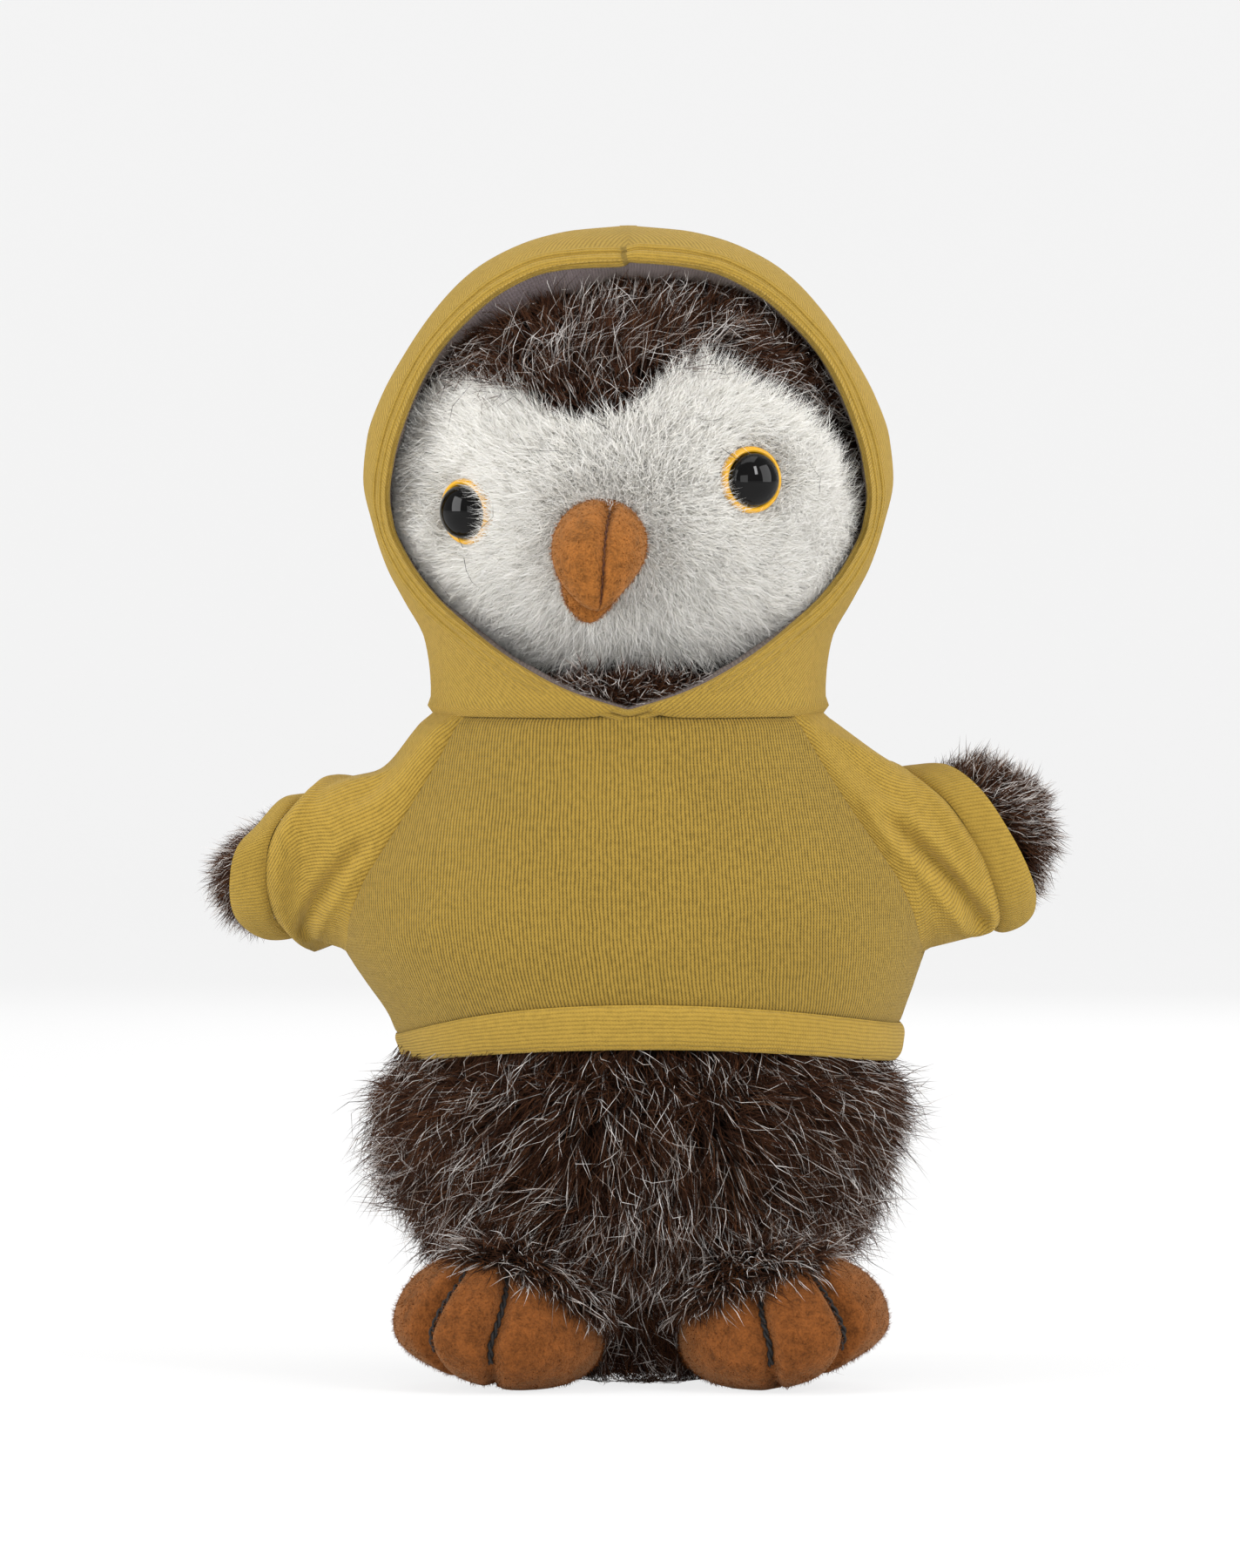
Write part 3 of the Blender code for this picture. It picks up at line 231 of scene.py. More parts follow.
# Stuffed forms: how deep they lie under the pile, and where they close
BODY_PILE = 0.0048
CHEST_PILE = 0.0012
HEAD_PILE = 0.0042
FACE_PILE = 0.0034
WING_PILE = 0.0042
FACE_BACKING_SINK = 0.0022
BODY_LIFT = 0.0012
BODY_SOLE_SHARE = 0.14
BODY_NECK_SHARE = 0.93
BODY_NECK_ROOM = 0.0020
HEAD_SEAT_ROOM = 0.0006

# Pile: the room it keeps, tones to a fibre's map, and how many faces a mesh may have
FUR_ROOM = 0.0006
HEM_FUR_ROOM = 0.0012
STRAY_HAIRS = 46
WAVES_ADDED = 4
BAKE_COLUMNS = 64
MOST_FACES = 190000


# Curves and places

def through(knots, x):
    """Values at x of a smooth curve through the knots, which never overshoots them."""
    knots = np.asarray(knots, float)
    xs, ys = knots[:, 0], knots[:, 1]
    x = np.clip(np.asarray(x, float), xs[0], xs[-1])
    slopes = np.diff(ys) / np.diff(xs)
    product = slopes[:-1] * slopes[1:]
    level = np.where(product > 0, slopes[:-1] + slopes[1:], 1.0)
    inner = np.where(product > 0, 2 * product / level, 0.0)
    tangents = np.concatenate((slopes[:1], inner, slopes[-1:]))
    index = np.clip(np.searchsorted(xs, x) - 1, 0, len(xs) - 2)
    span = (xs[1:] - xs[:-1])[index]
    t = (x - xs[index]) / span
    low = ys[index] * (1 + 2 * t) * (1 - t) ** 2 + ys[index + 1] * t * t * (3 - 2 * t)
    return low + span * (tangents[index] * t * (1 - t) ** 2 - tangents[index + 1] * t * t * (1 - t))


def along_rows(table, count):
    """Both columns of a table, at places spread smoothly over its rows."""
    rows = np.arange(len(table))
    at = np.linspace(0, len(table) - 1, count)
    return [through(np.stack((rows, column), 1), at) for column in np.transpose(table)]


def ease(t):
    t = np.clip(t, 0.0, 1.0)
    return t * t * (3 - 2 * t)


def bump(x, width):
    """One at zero, falling away smoothly within a width."""
    return np.exp(-(x / width) ** 2)


def unit(vectors):
    return vectors / np.maximum(np.linalg.norm(vectors, axis=-1, keepdims=True), 1e-12)


def stack(x, y, z):
    return np.stack(np.broadcast_arrays(x, y, z), axis=-1).astype(float)


def travelled(path):
    """How far along an open path each of its points lies."""
    return np.concatenate(((0.0,), np.cumsum(np.linalg.norm(np.diff(path, axis=0), axis=1))))


def lean(height):
    """How far to one side the body's middle stands at a height."""
    height = np.asarray(height, float)
    return NECK_LEAN * height / NECK_HEIGHT + HEM_SHIFT * bump(height - HEM_SHIFT_HEIGHT, HEM_SHIFT_REACH)


def top_section(height, inset=0.0):
    """Centre, half width and half depth of the top's outer surface, less an inset."""
    share = (height - HEM_HEIGHT) / (NECK_HEIGHT - HEM_HEIGHT)
    half_width = through(TOP_WIDTH_SHARES, share) * TOP_WIDTH / 2
    half_depth = through(TOP_DEPTH_SHARES, share) * TOP_DEPTH / 2
    return lean(height), half_width - inset, half_depth - inset


def body_section(height, inset=0.0):
    """Centre, half width and half depth of the stuffed body, less an inset."""
    height = np.asarray(height, float)
    share = (height - HEM_HEIGHT) / (NECK_HEIGHT - HEM_HEIGHT)
    _, wide, deep = top_section(np.maximum(height, HEM_HEIGHT), CLOTH + FIT_GAP)
    _, hem_wide, hem_deep = top_section(HEM_HEIGHT, CLOTH + FIT_GAP)
    halves = []
    for shares, full, at_hem, above in (
        (BODY_WIDTH_SHARES, BODY_WIDTH, hem_wide, wide * through(CHEST_SHARES, share)),
        (BODY_DEPTH_SHARES, BODY_DEPTH, hem_deep, deep),
    ):
        knots = [(h * HEM_HEIGHT, s * full / 2) for h, s in shares] + [(HEM_HEIGHT, at_hem)]
        halves.append(np.where(height < HEM_HEIGHT, through(knots, height), above) - inset)
    return lean(height), *halves


def top_point(angle, height, inset=0.0):
    """A point of the top at an angle round it; the front is at minus a right angle."""
    band_top = HEM_HEIGHT + HEM_BAND
    fade = 1 - ease((height - band_top) / (ARMPIT_HEIGHT - band_top))
    up_band = np.clip((height - HEM_HEIGHT) / HEM_BAND, 0.0, 1.0)
    front, left = np.maximum(-np.sin(angle), 0.0), np.maximum(-np.cos(angle), 0.0)
    level = height + (HEM_ARCH + HEM_TOP_ARCH * up_band) * front ** 2 * fade
    level = level - HEM_SIDE_DROP * up_band * left ** 3 * fade
    drawn = HEM_SIDE_DRAW * left ** 3 * bump(height - band_top, HEM_SIDE_REACH)
    centre, half_width, half_depth = top_section(level, inset + drawn)
    return stack(centre + half_width * np.cos(angle), half_depth * np.sin(angle), level)


def raglan_angle(height):
    """Angle from the side of the top to the raglan seam at a height."""
    share = (height - ARMPIT_HEIGHT) / (NECK_HEIGHT - ARMPIT_HEIGHT)
    return math.radians(RAGLAN_ANGLE) * through(RAGLAN_SHARES, share)


def hood_section(height, inset=0.0):
    """Centre, half width and half depth of the hood, less an inset."""
    start = NECK_HEIGHT + SEAM_GAP
    rise = HOOD_TOP - start
    neckline = top_section(NECK_HEIGHT)
    halves = []
    for neck, full, swell, crown in (
        (neckline[1], HOOD_WIDTH, HOOD_WIDTH_SHARES, CROWN_WIDTH_SHARES),
        (neckline[2], HOOD_DEPTH, HOOD_DEPTH_SHARES, CROWN_DEPTH_SHARES),
    ):
        knots = [(start + at * rise, neck + (full / 2 - neck) * share) for at, share in swell]
        knots += [(start + at * rise, full / 2 * share) for at, share in crown]
        halves.append(through(knots + [(HOOD_TOP, 0.0)], height) - inset)
    return NECK_LEAN, *halves


def hood_point(angle, height, inset=0.0):
    centre, half_width, half_depth = hood_section(height, inset)
    return stack(centre + half_width * np.cos(angle), half_depth * np.sin(angle), height)


def hood_opening(count):
    """Points round the face opening, on the middle of the hood's cloth, from the top to the right."""
    low = NECK_HEIGHT + SEAM_GAP + OPENING_LOW
    heights, widths = along_rows(OPENING_SHARES, count // 2 + 1)
    height = low + (OPENING_TOP - low) * heights
    aside = OPENING_WIDTH / 2 * widths
    _, half_width, half_depth = hood_section(height, HOOD_CLOTH / 2)
    forward = half_depth * np.sqrt(np.maximum(1 - (aside / half_width) ** 2, 0.0))
    right = stack(NECK_LEAN + aside, -forward, height)
    left = stack(NECK_LEAN - aside, -forward, height)[-2:0:-1]
    return np.concatenate((right, left))


HEAD_POSE = (
    Matrix.Translation(HEAD_CENTRE)
    @ Matrix.Rotation(math.radians(HEAD_TIP), 4, "Y")
    @ Matrix.Rotation(math.radians(HEAD_TURN), 4, "Z")
)
HEAD_ROTATION = np.array(HEAD_POSE.to_3x3())


def to_head(points):
    """World points in the head's own frame."""
    return (points - np.array(HEAD_CENTRE)) @ HEAD_ROTATION


def from_head(points):
    return points @ HEAD_ROTATION.T + np.array(HEAD_CENTRE)


def pile_outline():
    """Where the white pile ends, as (x, z) in the head's own frame: a heart, lower at its right shoulder."""
    across, upward = along_rows(FACE_SHARES, 60)
    x, z = HEAD_RADII[0] * across, HEAD_RADII[2] * upward
    outline = np.concatenate((np.stack((x, z), 1), np.stack((-x, z), 1)[-2:0:-1]))
    share = outline[:, 0] / HEAD_RADII[0]
    outline[:, 1] -= FACE_SHOULDER_DROP * ease((share - 0.42) / 0.30) * (outline[:, 1] > FACE_WAIST)
    outline[:, 1] -= FACE_CHIN_DROP * bump(share - 0.45, 0.35) * (outline[:, 1] < FACE_WAIST)
    outline[:, 0] *= np.where(share < 0, FACE_LEFT_SHARE, 1.0)
    return outline


def inside_outline(points, outline):
    """Which points a closed outline holds, seen from the front; both as (x, z) or (x, y, z)."""
    points, outline = points[:, [0, -1]], outline[:, [0, -1]]
    held = np.zeros(len(points), bool)
    for a, b in zip(outline, np.roll(outline, -1, 0)):
        crosses = (a[1] > points[:, 1]) != (b[1] > points[:, 1])
        at = a[0] + (points[:, 1] - a[1]) / (b[1] - a[1] + 1e-12) * (b[0] - a[0])
        held ^= crosses & (points[:, 0] < at)
    return held


def in_face(local):
    """Which points under the pile, in the head's own frame, the white face covers."""
    return inside_outline(local * HEAD_RADII[0] / (HEAD_RADII[0] - FACE_PILE), pile_outline())


def face_point(across, upward):
    rx, ry, rz = HEAD_RADII
    forward = ry * np.sqrt(1 - (across / rx) ** 2 - (upward / rz) ** 2)
    return stack(across, -forward, upward)


def shoulder(side):
    height = ARMPIT_HEIGHT + SHOULDER_SHARE * (NECK_HEIGHT - ARMPIT_HEIGHT)
    centre, half_width, _ = body_section(height)
    return np.array((centre + side * (half_width + WING_ROOT_RADIUS + FIT_GAP - SHOULDER_SEAT), 0.0, height))


def wing_section(distance, grow=0.0):
    """Half height and half depth of a wing at distances out from the shoulder."""
    distance = np.asarray(distance, float)
    share = np.clip(distance / WING_LENGTH, 0.0, 1.0)
    swell = ease(share / WING_WIDEST_SHARE)
    close = np.clip((share - WING_WIDEST_SHARE) / (1 - WING_WIDEST_SHARE), 0.0, 1.0)
    round_tip = np.sqrt(1 - close ** 2)
    round_root = np.sqrt(np.maximum(1 - (np.minimum(distance, 0) / WING_ROOT_RADIUS) ** 2, 0.0))
    halves = []
    for full in (WING_HEIGHT, WING_DEPTH):
        half = WING_ROOT_RADIUS + (full / 2 - WING_ROOT_RADIUS) * swell
        halves.append(half * round_tip * round_root + grow)
    return halves


def foremost(cosine):
    """How far a cuff reaches forward round the wing: a half circle in front, nearly level behind."""
    return np.where(cosine > 0, cosine, cosine * np.exp(4 * cosine))


class WingFrame:
    """Where one wing points: outward, up and forward directions at the shoulder."""

    def __init__(self, side):
        self.side = side
        self.pivot = shoulder(side)
        lift = math.radians(WING_LIFT[side])
        self.twist = math.radians(WING_TWIST[side])
        self.out = np.array((side * math.cos(lift), 0.0, math.sin(lift)))
        self.level_up = np.array((-side * math.sin(lift), 0.0, math.cos(lift)))
        self.up = self.level_up * math.cos(self.twist) + FORWARD * math.sin(self.twist)
        self.front = FORWARD * math.cos(self.twist) - self.level_up * math.sin(self.twist)

    def point(self, distance, angle, grow=0.0):
        """Points on the wing; the angle runs from the front over the top."""
        distance = np.asarray(distance)
        high, deep = wing_section(distance, grow)
        around = angle + self.twist
        fuller = ease(distance / WING_FULL_WITHIN)
        falls = ease((distance - WING_TOP_FROM[self.side]) / WING_FULL_WITHIN)
        top = WING_TOP_SHARE[self.side] - WING_TOP_FALL[self.side] * falls
        share = np.where(np.sin(angle) > 0, top, WING_FOOT_SHARE[self.side])
        high = high * (1 + (share - 1) * fuller * np.abs(np.sin(angle)) ** 1.5)
        offset = (deep * np.cos(around))[..., None] * self.front + (high * np.sin(around))[..., None] * self.up
        return self.pivot + distance[..., None] * self.out + offset

    def share_at(self, points, grow=0.0):
        """Where the wing's middle line passes points, and their share of the way out to its surface."""
        distance = (points - self.pivot) @ self.out
        middle = self.pivot + distance[:, None] * self.out
        high, deep = [np.maximum(half, 1e-6) for half in wing_section(distance, grow)]
        return middle, np.hypot((points - middle) @ self.front / deep, (points - middle) @ self.up / high)

    def outside(self, points, grow):
        """The points, moved away from the wing's middle line where the grown wing holds them."""
        middle, share = self.share_at(points, grow)
        return middle + (points - middle) / np.clip(share, 1e-6, 1.0)[:, None]

    def cuff_edge(self, cosine, sine):
        """How far out the cuff ends at an angle round the wing."""
        side = self.side
        return CUFF_REACH[side] - CUFF_SLANT[side] * sine + CUFF_BULGE[side] * foremost(cosine)

    def past_cuff(self, points):
        """How far points lie out from the shoulder beyond the cuff's edge."""
        offset = points - self.pivot
        height, front = offset @ self.level_up, offset @ FORWARD
        size = np.maximum(np.hypot(height, front), 1e-6)
        return offset @ self.out - self.cuff_edge(front / size, height / size)

    def in_cuff(self, points):
        """Lays what is still inside the cuff close to the wing."""
        middle, share = self.share_at(points)
        inner = self.past_cuff(points) < FIT_GAP
        pull = np.where(inner, CUFF_LAID_SHARE / np.maximum(share, CUFF_LAID_SHARE), 1.0)
        return middle + (points - middle) * pull[:, None]

    def cuff_ring(self, angle, back, grow):
        return self.point(self.cuff_edge(np.cos(angle), np.sin(angle)) - back, angle, grow)


def armhole(side, angle, under=0.0, inset=0.0):
    """Points of the hole that the raglan seams leave, at angles from the front up over the shoulder."""
    middle = (NECK_HEIGHT + ARMPIT_HEIGHT) / 2
    shares = np.linspace(0, 1, 120)
    height = ARMPIT_HEIGHT + (NECK_HEIGHT - ARMPIT_HEIGHT) * shares
    turn = raglan_angle(height) + under / (TOP_WIDTH / 2)
    neck_turn = raglan_angle(NECK_HEIGHT) + under / (TOP_WIDTH / 2)
    height = height - under * (1 - shares) ** 4
    edge = np.concatenate((
        top_point(-turn, height, inset), top_point(turn, height, inset),
        top_point(neck_turn * (2 * shares - 1), np.full(120, NECK_HEIGHT + under), inset),
    ))
    if side == LEFT:
        edge[:, 0] = 2 * lean(edge[:, 2]) - edge[:, 0]
    around = np.arctan2(edge[:, 2] - middle, -edge[:, 1]) % (2 * math.pi)
    order = np.argsort(around)
    return columns_at(angle, around[order], edge[order], period=2 * math.pi)


def columns_at(at, places, rows, period=None):
    """Rows between known rows, column by column."""
    return np.stack([np.interp(at, places, rows[:, k], period=period) for k in range(3)], axis=-1)


# Mesh tools

def fetch(items, name, width=1, kind=np.float32):
    """One attribute of all of a mesh's vertices, corners or faces."""
    values = np.empty(len(items) * width, kind)
    items.foreach_get(name, values)
    return values if width == 1 else values.reshape(-1, width)


def deselect():
    bpy.ops.object.select_all(action="DESELECT")


def pick(obj):
    deselect()
    obj.select_set(True)
    bpy.context.view_layer.objects.active = obj


def read_points(mesh):
    return fetch(mesh.vertices, "co", 3).astype(float)


def write_points(mesh, points):
    mesh.vertices.foreach_set("co", np.asarray(points, np.float32).ravel())
    mesh.update()


def in_edit_mode(obj, *steps):
    """Runs edit-mode operators on all of an object's mesh."""
    pick(obj)
    bpy.ops.object.mode_set(mode="EDIT")
    bpy.ops.mesh.select_all(action="SELECT")
    for step, settings in steps:
        step(**settings)
    bpy.ops.object.mode_set(mode="OBJECT")


def apply_modifiers(obj):
    pick(obj)
    for step in list(obj.modifiers):
        bpy.ops.object.modifier_apply(modifier=step.name)


def uv_per_vertex(mesh, name, *values):
    """A UV map whose corners take their vertex's values."""
    layer = mesh.uv_layers.get(name) or mesh.uv_layers.new(name=name)
    index = fetch(mesh.loops, "vertex_index", kind=np.int32)
    layer.data.foreach_set("uv", np.stack(values, 1).astype(np.float32)[index].ravel())


def uv_round_axis(obj, name, wing, start):
    """A knit map in real size: arc round a wing's axis, from the top, and distance along it."""
    mesh = obj.data
    offset = read_points(mesh) - wing.pivot
    along = offset @ wing.out
    high, deep = offset @ wing.level_up, offset @ FORWARD
    around = np.arctan2(high, deep) - math.pi / 2
    rise = (along - along.min()) / UV_LEVEL
    levels = np.round(rise).astype(int)
    reach = np.hypot(high, deep)
    mean = np.array([reach[levels == k].mean() if (levels == k).any() else np.nan for k in range(levels.max() + 1)])
    known = np.flatnonzero(~np.isnan(mean))
    mean = np.interp(np.arange(len(mean)), known, mean[known])
    radius = np.interp(rise, np.arange(len(mean)), mean)
    index = fetch(mesh.loops, "vertex_index", kind=np.int32)
    first = fetch(mesh.polygons, "loop_start", kind=np.int32)
    reference = np.repeat(around[index[first]], fetch(mesh.polygons, "loop_total", kind=np.int32))
    turned = reference + (around[index] - reference + math.pi) % (2 * math.pi) - math.pi
    corners = np.stack((turned * radius[index], along[index] + start), 1)
    mesh.uv_layers[name].data.foreach_set("uv", corners.astype(np.float32).ravel())


def laid_grid(name, counts, place, flat=(1.0, 1.0), wrap=False):
    """A primitive grid whose points a formula of two shares lays; flat sizes its knit map."""
    deselect()
    bpy.ops.mesh.primitive_grid_add(x_subdivisions=counts[0], y_subdivisions=counts[1], size=2.0)
    obj = bpy.context.object
    obj.name = name
    mesh = obj.data
    mesh.name = name
    u, v = (read_points(mesh)[:, :2].T + 1) / 2
    mesh.uv_layers[0].name = "Knit"
    uv_per_vertex(mesh, "Knit", u * flat[0], v * flat[1])
    write_points(mesh, place(u, v))
    if wrap:
        in_edit_mode(obj, (bpy.ops.mesh.remove_doubles, {"threshold": 1e-6}))
    return obj


def face_away(obj, middle):
    """Turns a sheet's faces so that they look away from a point."""
    if sum(face.area * face.normal.dot(face.center - Vector(middle)) for face in obj.data.polygons) < 0:
        in_edit_mode(obj, (bpy.ops.mesh.flip_normals, {}))


def area_of(obj):
    return sum(face.area for face in obj.data.polygons)


def smooth(obj, angle=50.0):
    pick(obj)
    bpy.ops.object.shade_smooth_by_angle(angle=math.radians(angle))


def close_up(obj):
    """Merges what touches and turns the normals of a closed form outwards."""
    in_edit_mode(
        obj, (bpy.ops.mesh.remove_doubles, {"threshold": 1e-6}),
        (bpy.ops.mesh.normals_make_consistent, {"inside": False}),
    )


def place_in_scene(name, mesh):
    obj = bpy.data.objects.new(name, mesh)
    bpy.context.scene.collection.objects.link(obj)
    return obj


def mesh_object(name, vertices, faces):
    mesh = bpy.data.meshes.new(name)
    mesh.from_pydata([tuple(v) for v in vertices], [], faces)
    return place_in_scene(name, mesh)


def ring_faces(rings, sides, closed_path=False):
    """Quads between rings of points, each closed on itself."""
    faces = []
    for i in range(rings if closed_path else rings - 1):
        low, high = i * sides, (i + 1) % rings * sides
        for k in range(sides):
            j = (k + 1) % sides
            faces.append((low + k, low + j, high + j, high + k))
    return faces


def tube_along(path, profile, up=None):
    """Points of a profile of (side, up) pairs carried along a path; one with its own ups is closed."""
    if up is not None:
        along = unit(np.roll(path, -1, 0) - np.roll(path, 1, 0))
    else:
        along = unit(np.gradient(path, axis=0))
        up = np.empty_like(path)
        guess = np.array(Vector(along[0]).orthogonal())
        for i, direction in enumerate(along):
            guess = unit(guess - direction * (guess @ direction))
            up[i] = guess
    up = unit(up - along * np.sum(up * along, 1)[:, None])
    side = np.cross(along, up)
    return path[:, None] + profile[..., :1] * side[:, None] + profile[..., 1:] * up[:, None]


def spun(name, profile, place):
    """A profile of (radius, height) points in millimetres spun round the place's Z with the spin operator."""
    deselect()
    obj = mesh_object(name, [(r * MM, 0.0, h * MM) for r, h in profile], [])
    obj.data.edges.add(len(profile) - 1)
    obj.data.edges.foreach_set("vertices", [i for k in range(len(profile) - 1) for i in (k, k + 1)])
    obj.data.update()
    turn = {"steps": SPIN_STEPS, "angle": 2 * math.pi, "center": (0, 0, 0), "axis": (0, 0, 1)}
    in_edit_mode(obj, (bpy.ops.mesh.spin, turn))
    close_up(obj)
    obj.data.transform(place)
    smooth(obj, 35.0)
    return obj


# Shader tools

def tint(red, green, blue):
    """Display colours, 0 to 255, as the linear values that a shader takes."""
    shares = [value / 255 for value in (red, green, blue)]
    return (*[s / 12.92 if s <= 0.04045 else ((s + 0.055) / 1.055) ** 2.4 for s in shares], 1.0)


def shaded(colour, share):
    """A linear colour made darker or lighter by a share."""
    return (*[min(value * share, 1.0) for value in colour[:3]], 1.0)


def put(tree, kind, inputs=None, **settings):
    """A node with its settings, and its inputs set to values or linked to sockets."""
    made = tree.nodes.new(kind)
    for name, value in settings.items():
        setattr(made, name, value)
    for key, value in (inputs or {}).items():
        socket = made.inputs[key]
        if isinstance(value, bpy.types.NodeSocket):
            tree.links.new(value, socket)
        else:
            socket.default_value = value
    return made


def calc(tree, operation, *values):
    """The result socket of a Math node."""
    return put(tree, "ShaderNodeMath", dict(enumerate(values)), operation=operation).outputs[0]


def noise(tree, place, scale, detail=2.0):
    """The value socket of a noise texture."""
    return put(tree, "ShaderNodeTexNoise", {"Vector": place, "Scale": scale, "Detail": detail}).outputs["Fac"]


def blend_colours(tree, share, first, second):
    return put(tree, "ShaderNodeMix", {0: share, 6: first, 7: second}, data_type="RGBA").outputs[2]


def ramp(tree, value, stops):
    """A colour ramp through (place, colour) stops."""
    made = put(tree, "ShaderNodeValToRGB", {"Fac": value})
    elements = made.color_ramp.elements
    while len(elements) < len(stops):
        elements.new(0.5)
    for element, (at, colour) in zip(elements, stops):
        element.position = at
        element.color = colour
    return made.outputs["Color"]


def relief(tree, shader, height, depth):
    """Bump of a depth in metres, on a shader's normal."""
    bumped = put(tree, "ShaderNodeBump", {"Height": height, "Distance": depth, "Strength": 1.0})
    tree.links.new(bumped.outputs["Normal"], shader.inputs["Normal"])


def knit_group():
    """Stockinette: upright wales of V stitches, from real-size coordinates; its groove output marks where painted shade
    falls between the wales.
    """
    if "Knit Stitches" in bpy.data.node_groups:
        return bpy.data.node_groups["Knit Stitches"]
    tree = bpy.data.node_groups.new("Knit Stitches", "ShaderNodeTree")
    for label, kind, default in (
        ("Vector", "NodeSocketVector", None), ("Wale", "NodeSocketFloat", WALE), ("Course", "NodeSocketFloat", COURSE),
    ):
        socket = tree.interface.new_socket(label, in_out="INPUT", socket_type=kind)
        if default is not None:
            socket.default_value = default
    for label in ("Height", "Groove Shade", "Mottle"):
        tree.interface.new_socket(label, in_out="OUTPUT", socket_type="NodeSocketFloat")
    start, end = tree.nodes.new("NodeGroupInput"), tree.nodes.new("NodeGroupOutput")
    place = start.outputs["Vector"]
    parts = put(tree, "ShaderNodeSeparateXYZ", {0: place})
    drift = calc(tree, "MULTIPLY", calc(tree, "SUBTRACT", noise(tree, place, 160.0, 1.0), 0.5), 0.9)
    wale = calc(tree, "ADD", calc(tree, "DIVIDE", parts.outputs["X"], start.outputs["Wale"]), drift)
    across = calc(tree, "ABSOLUTE", calc(tree, "SUBTRACT", calc(tree, "FRACT", wale), 0.5))
    across = calc(tree, "MULTIPLY", across, 2.0)
    row = calc(tree, "DIVIDE", parts.outputs["Y"], start.outputs["Course"])
    row = calc(tree, "FRACT", calc(tree, "ADD", row, calc(tree, "MULTIPLY", across, 0.55)))
    leg = calc(tree, "SINE", calc(tree, "MULTIPLY", row, math.pi))
    crown = calc(tree, "SUBTRACT", 1.0, calc(tree, "POWER", across, 2.0))
    height = calc(tree, "ADD", calc(tree, "MULTIPLY", crown, 0.65), calc(tree, "MULTIPLY", leg, 0.35))
    # painted shade: how deep in the groove between two wales a place lies
    groove_shade = calc(tree, "POWER", across, 2.2)
    groove_shade = calc(tree, "MULTIPLY", groove_shade, calc(tree, "SUBTRACT", 1.25, calc(tree, "MULTIPLY", leg, 0.5)))
    tree.links.new(height, end.inputs["Height"])
    tree.links.new(groove_shade, end.inputs["Groove Shade"])
    tree.links.new(noise(tree, place, 900.0), end.inputs["Mottle"])
    return tree


def new_material(name, roughness, specular=0.5, sheen=0.0, sheen_colour=None):
    """A Principled material, its tree and its shader; what is the same all over is set here."""
    material = bpy.data.materials.new(name)
    material.use_nodes = True
    shader = material.node_tree.nodes["Principled BSDF"]
    shader.inputs["Roughness"].default_value = roughness
    shader.inputs["Specular IOR Level"].default_value = specular
    shader.inputs["Sheen Weight"].default_value = sheen
    if sheen_colour is not None:
        shader.inputs["Sheen Tint"].default_value = sheen_colour
    return material.node_tree, shader


def knit_material(name, yarn, groove_shade, groove_shade_share):
    """Cotton jersey in one yarn; the grooves between its wales are darkened by a share, as painted shade."""
    tree, shader = new_material(name, 0.9, 0.12, 0.18, (1.0, 0.86, 0.50, 1.0))
    place = put(tree, "ShaderNodeUVMap", uv_map="Knit").outputs["UV"]
    stitches = put(tree, "ShaderNodeGroup", node_tree=knit_group())
    tree.links.new(place, stitches.inputs["Vector"])
    patchy = calc(tree, "MULTIPLY", calc(tree, "SUBTRACT", noise(tree, place, 55.0, 3.0), 0.42), 0.25)
    # painted shade in the grooves, mixed with random patches and flecks of tone
    share = calc(tree, "ADD", calc(tree, "MULTIPLY", stitches.outputs["Groove Shade"], groove_shade_share), patchy)
    fleck = calc(tree, "MULTIPLY", calc(tree, "SUBTRACT", stitches.outputs["Mottle"], 0.5), 0.8)
    share = put(tree, "ShaderNodeClamp", {0: calc(tree, "ADD", share, fleck)}).outputs[0]
    tree.links.new(blend_colours(tree, share, yarn, shaded(yarn, groove_shade)), shader.inputs["Base Color"])
    relief(tree, shader, stitches.outputs["Height"], KNIT_DEPTH)


def pile_material(name, root, under, tones, reach, roughness):
    """Fibres coloured by their own map: tone across the columns, root to tip along them."""
    tree, shader = new_material(name, roughness, 0.12)
    parts = put(tree, "ShaderNodeSeparateXYZ", {0: put(tree, "ShaderNodeUVMap", uv_map="OFBake").outputs["UV"]})
    column = calc(tree, "FLOOR", calc(tree, "MULTIPLY", parts.outputs["X"], BAKE_COLUMNS))
    tone = calc(tree, "DIVIDE", column, BAKE_COLUMNS)
    tip = ramp(tree, tone, tones)
    share = put(tree, "ShaderNodeMapRange", {
        "Value": parts.outputs["Y"], "From Min": reach[0], "From Max": reach[1],
    }, interpolation_type="SMOOTHSTEP").outputs[0]
    speckle = put(tree, "ShaderNodeTexWhiteNoise", {"W": tone}, noise_dimensions="1D").outputs["Value"]
    base = blend_colours(tree, speckle, root, under)
    tree.links.new(blend_colours(tree, share, base, tip), shader.inputs["Base Color"])


def velour_material(name, colour):
    """Short-pile velour with brushed patches."""
    tree, shader = new_material(name, 0.95, 0.12, 0.18, (1.0, 0.7, 0.4, 1.0))
    place = put(tree, "ShaderNodeTexCoord").outputs["Object"]
    patch = put(tree, "ShaderNodeTexNoise", {"Vector": place, "Scale": 420.0, "Detail": 4.0, "Roughness": 0.65})
    nap = noise(tree, place, 2600.0)
    mixed = calc(tree, "ADD", calc(tree, "MULTIPLY", patch.outputs["Fac"], 0.6), calc(tree, "MULTIPLY", nap, 0.4))
    stops = ((0.36, shaded(colour, 0.53)), (0.5, colour), (0.66, shaded(colour, 1.42)))
    tree.links.new(ramp(tree, mixed, stops), shader.inputs["Base Color"])
    relief(tree, shader, nap, NAP_DEPTH)


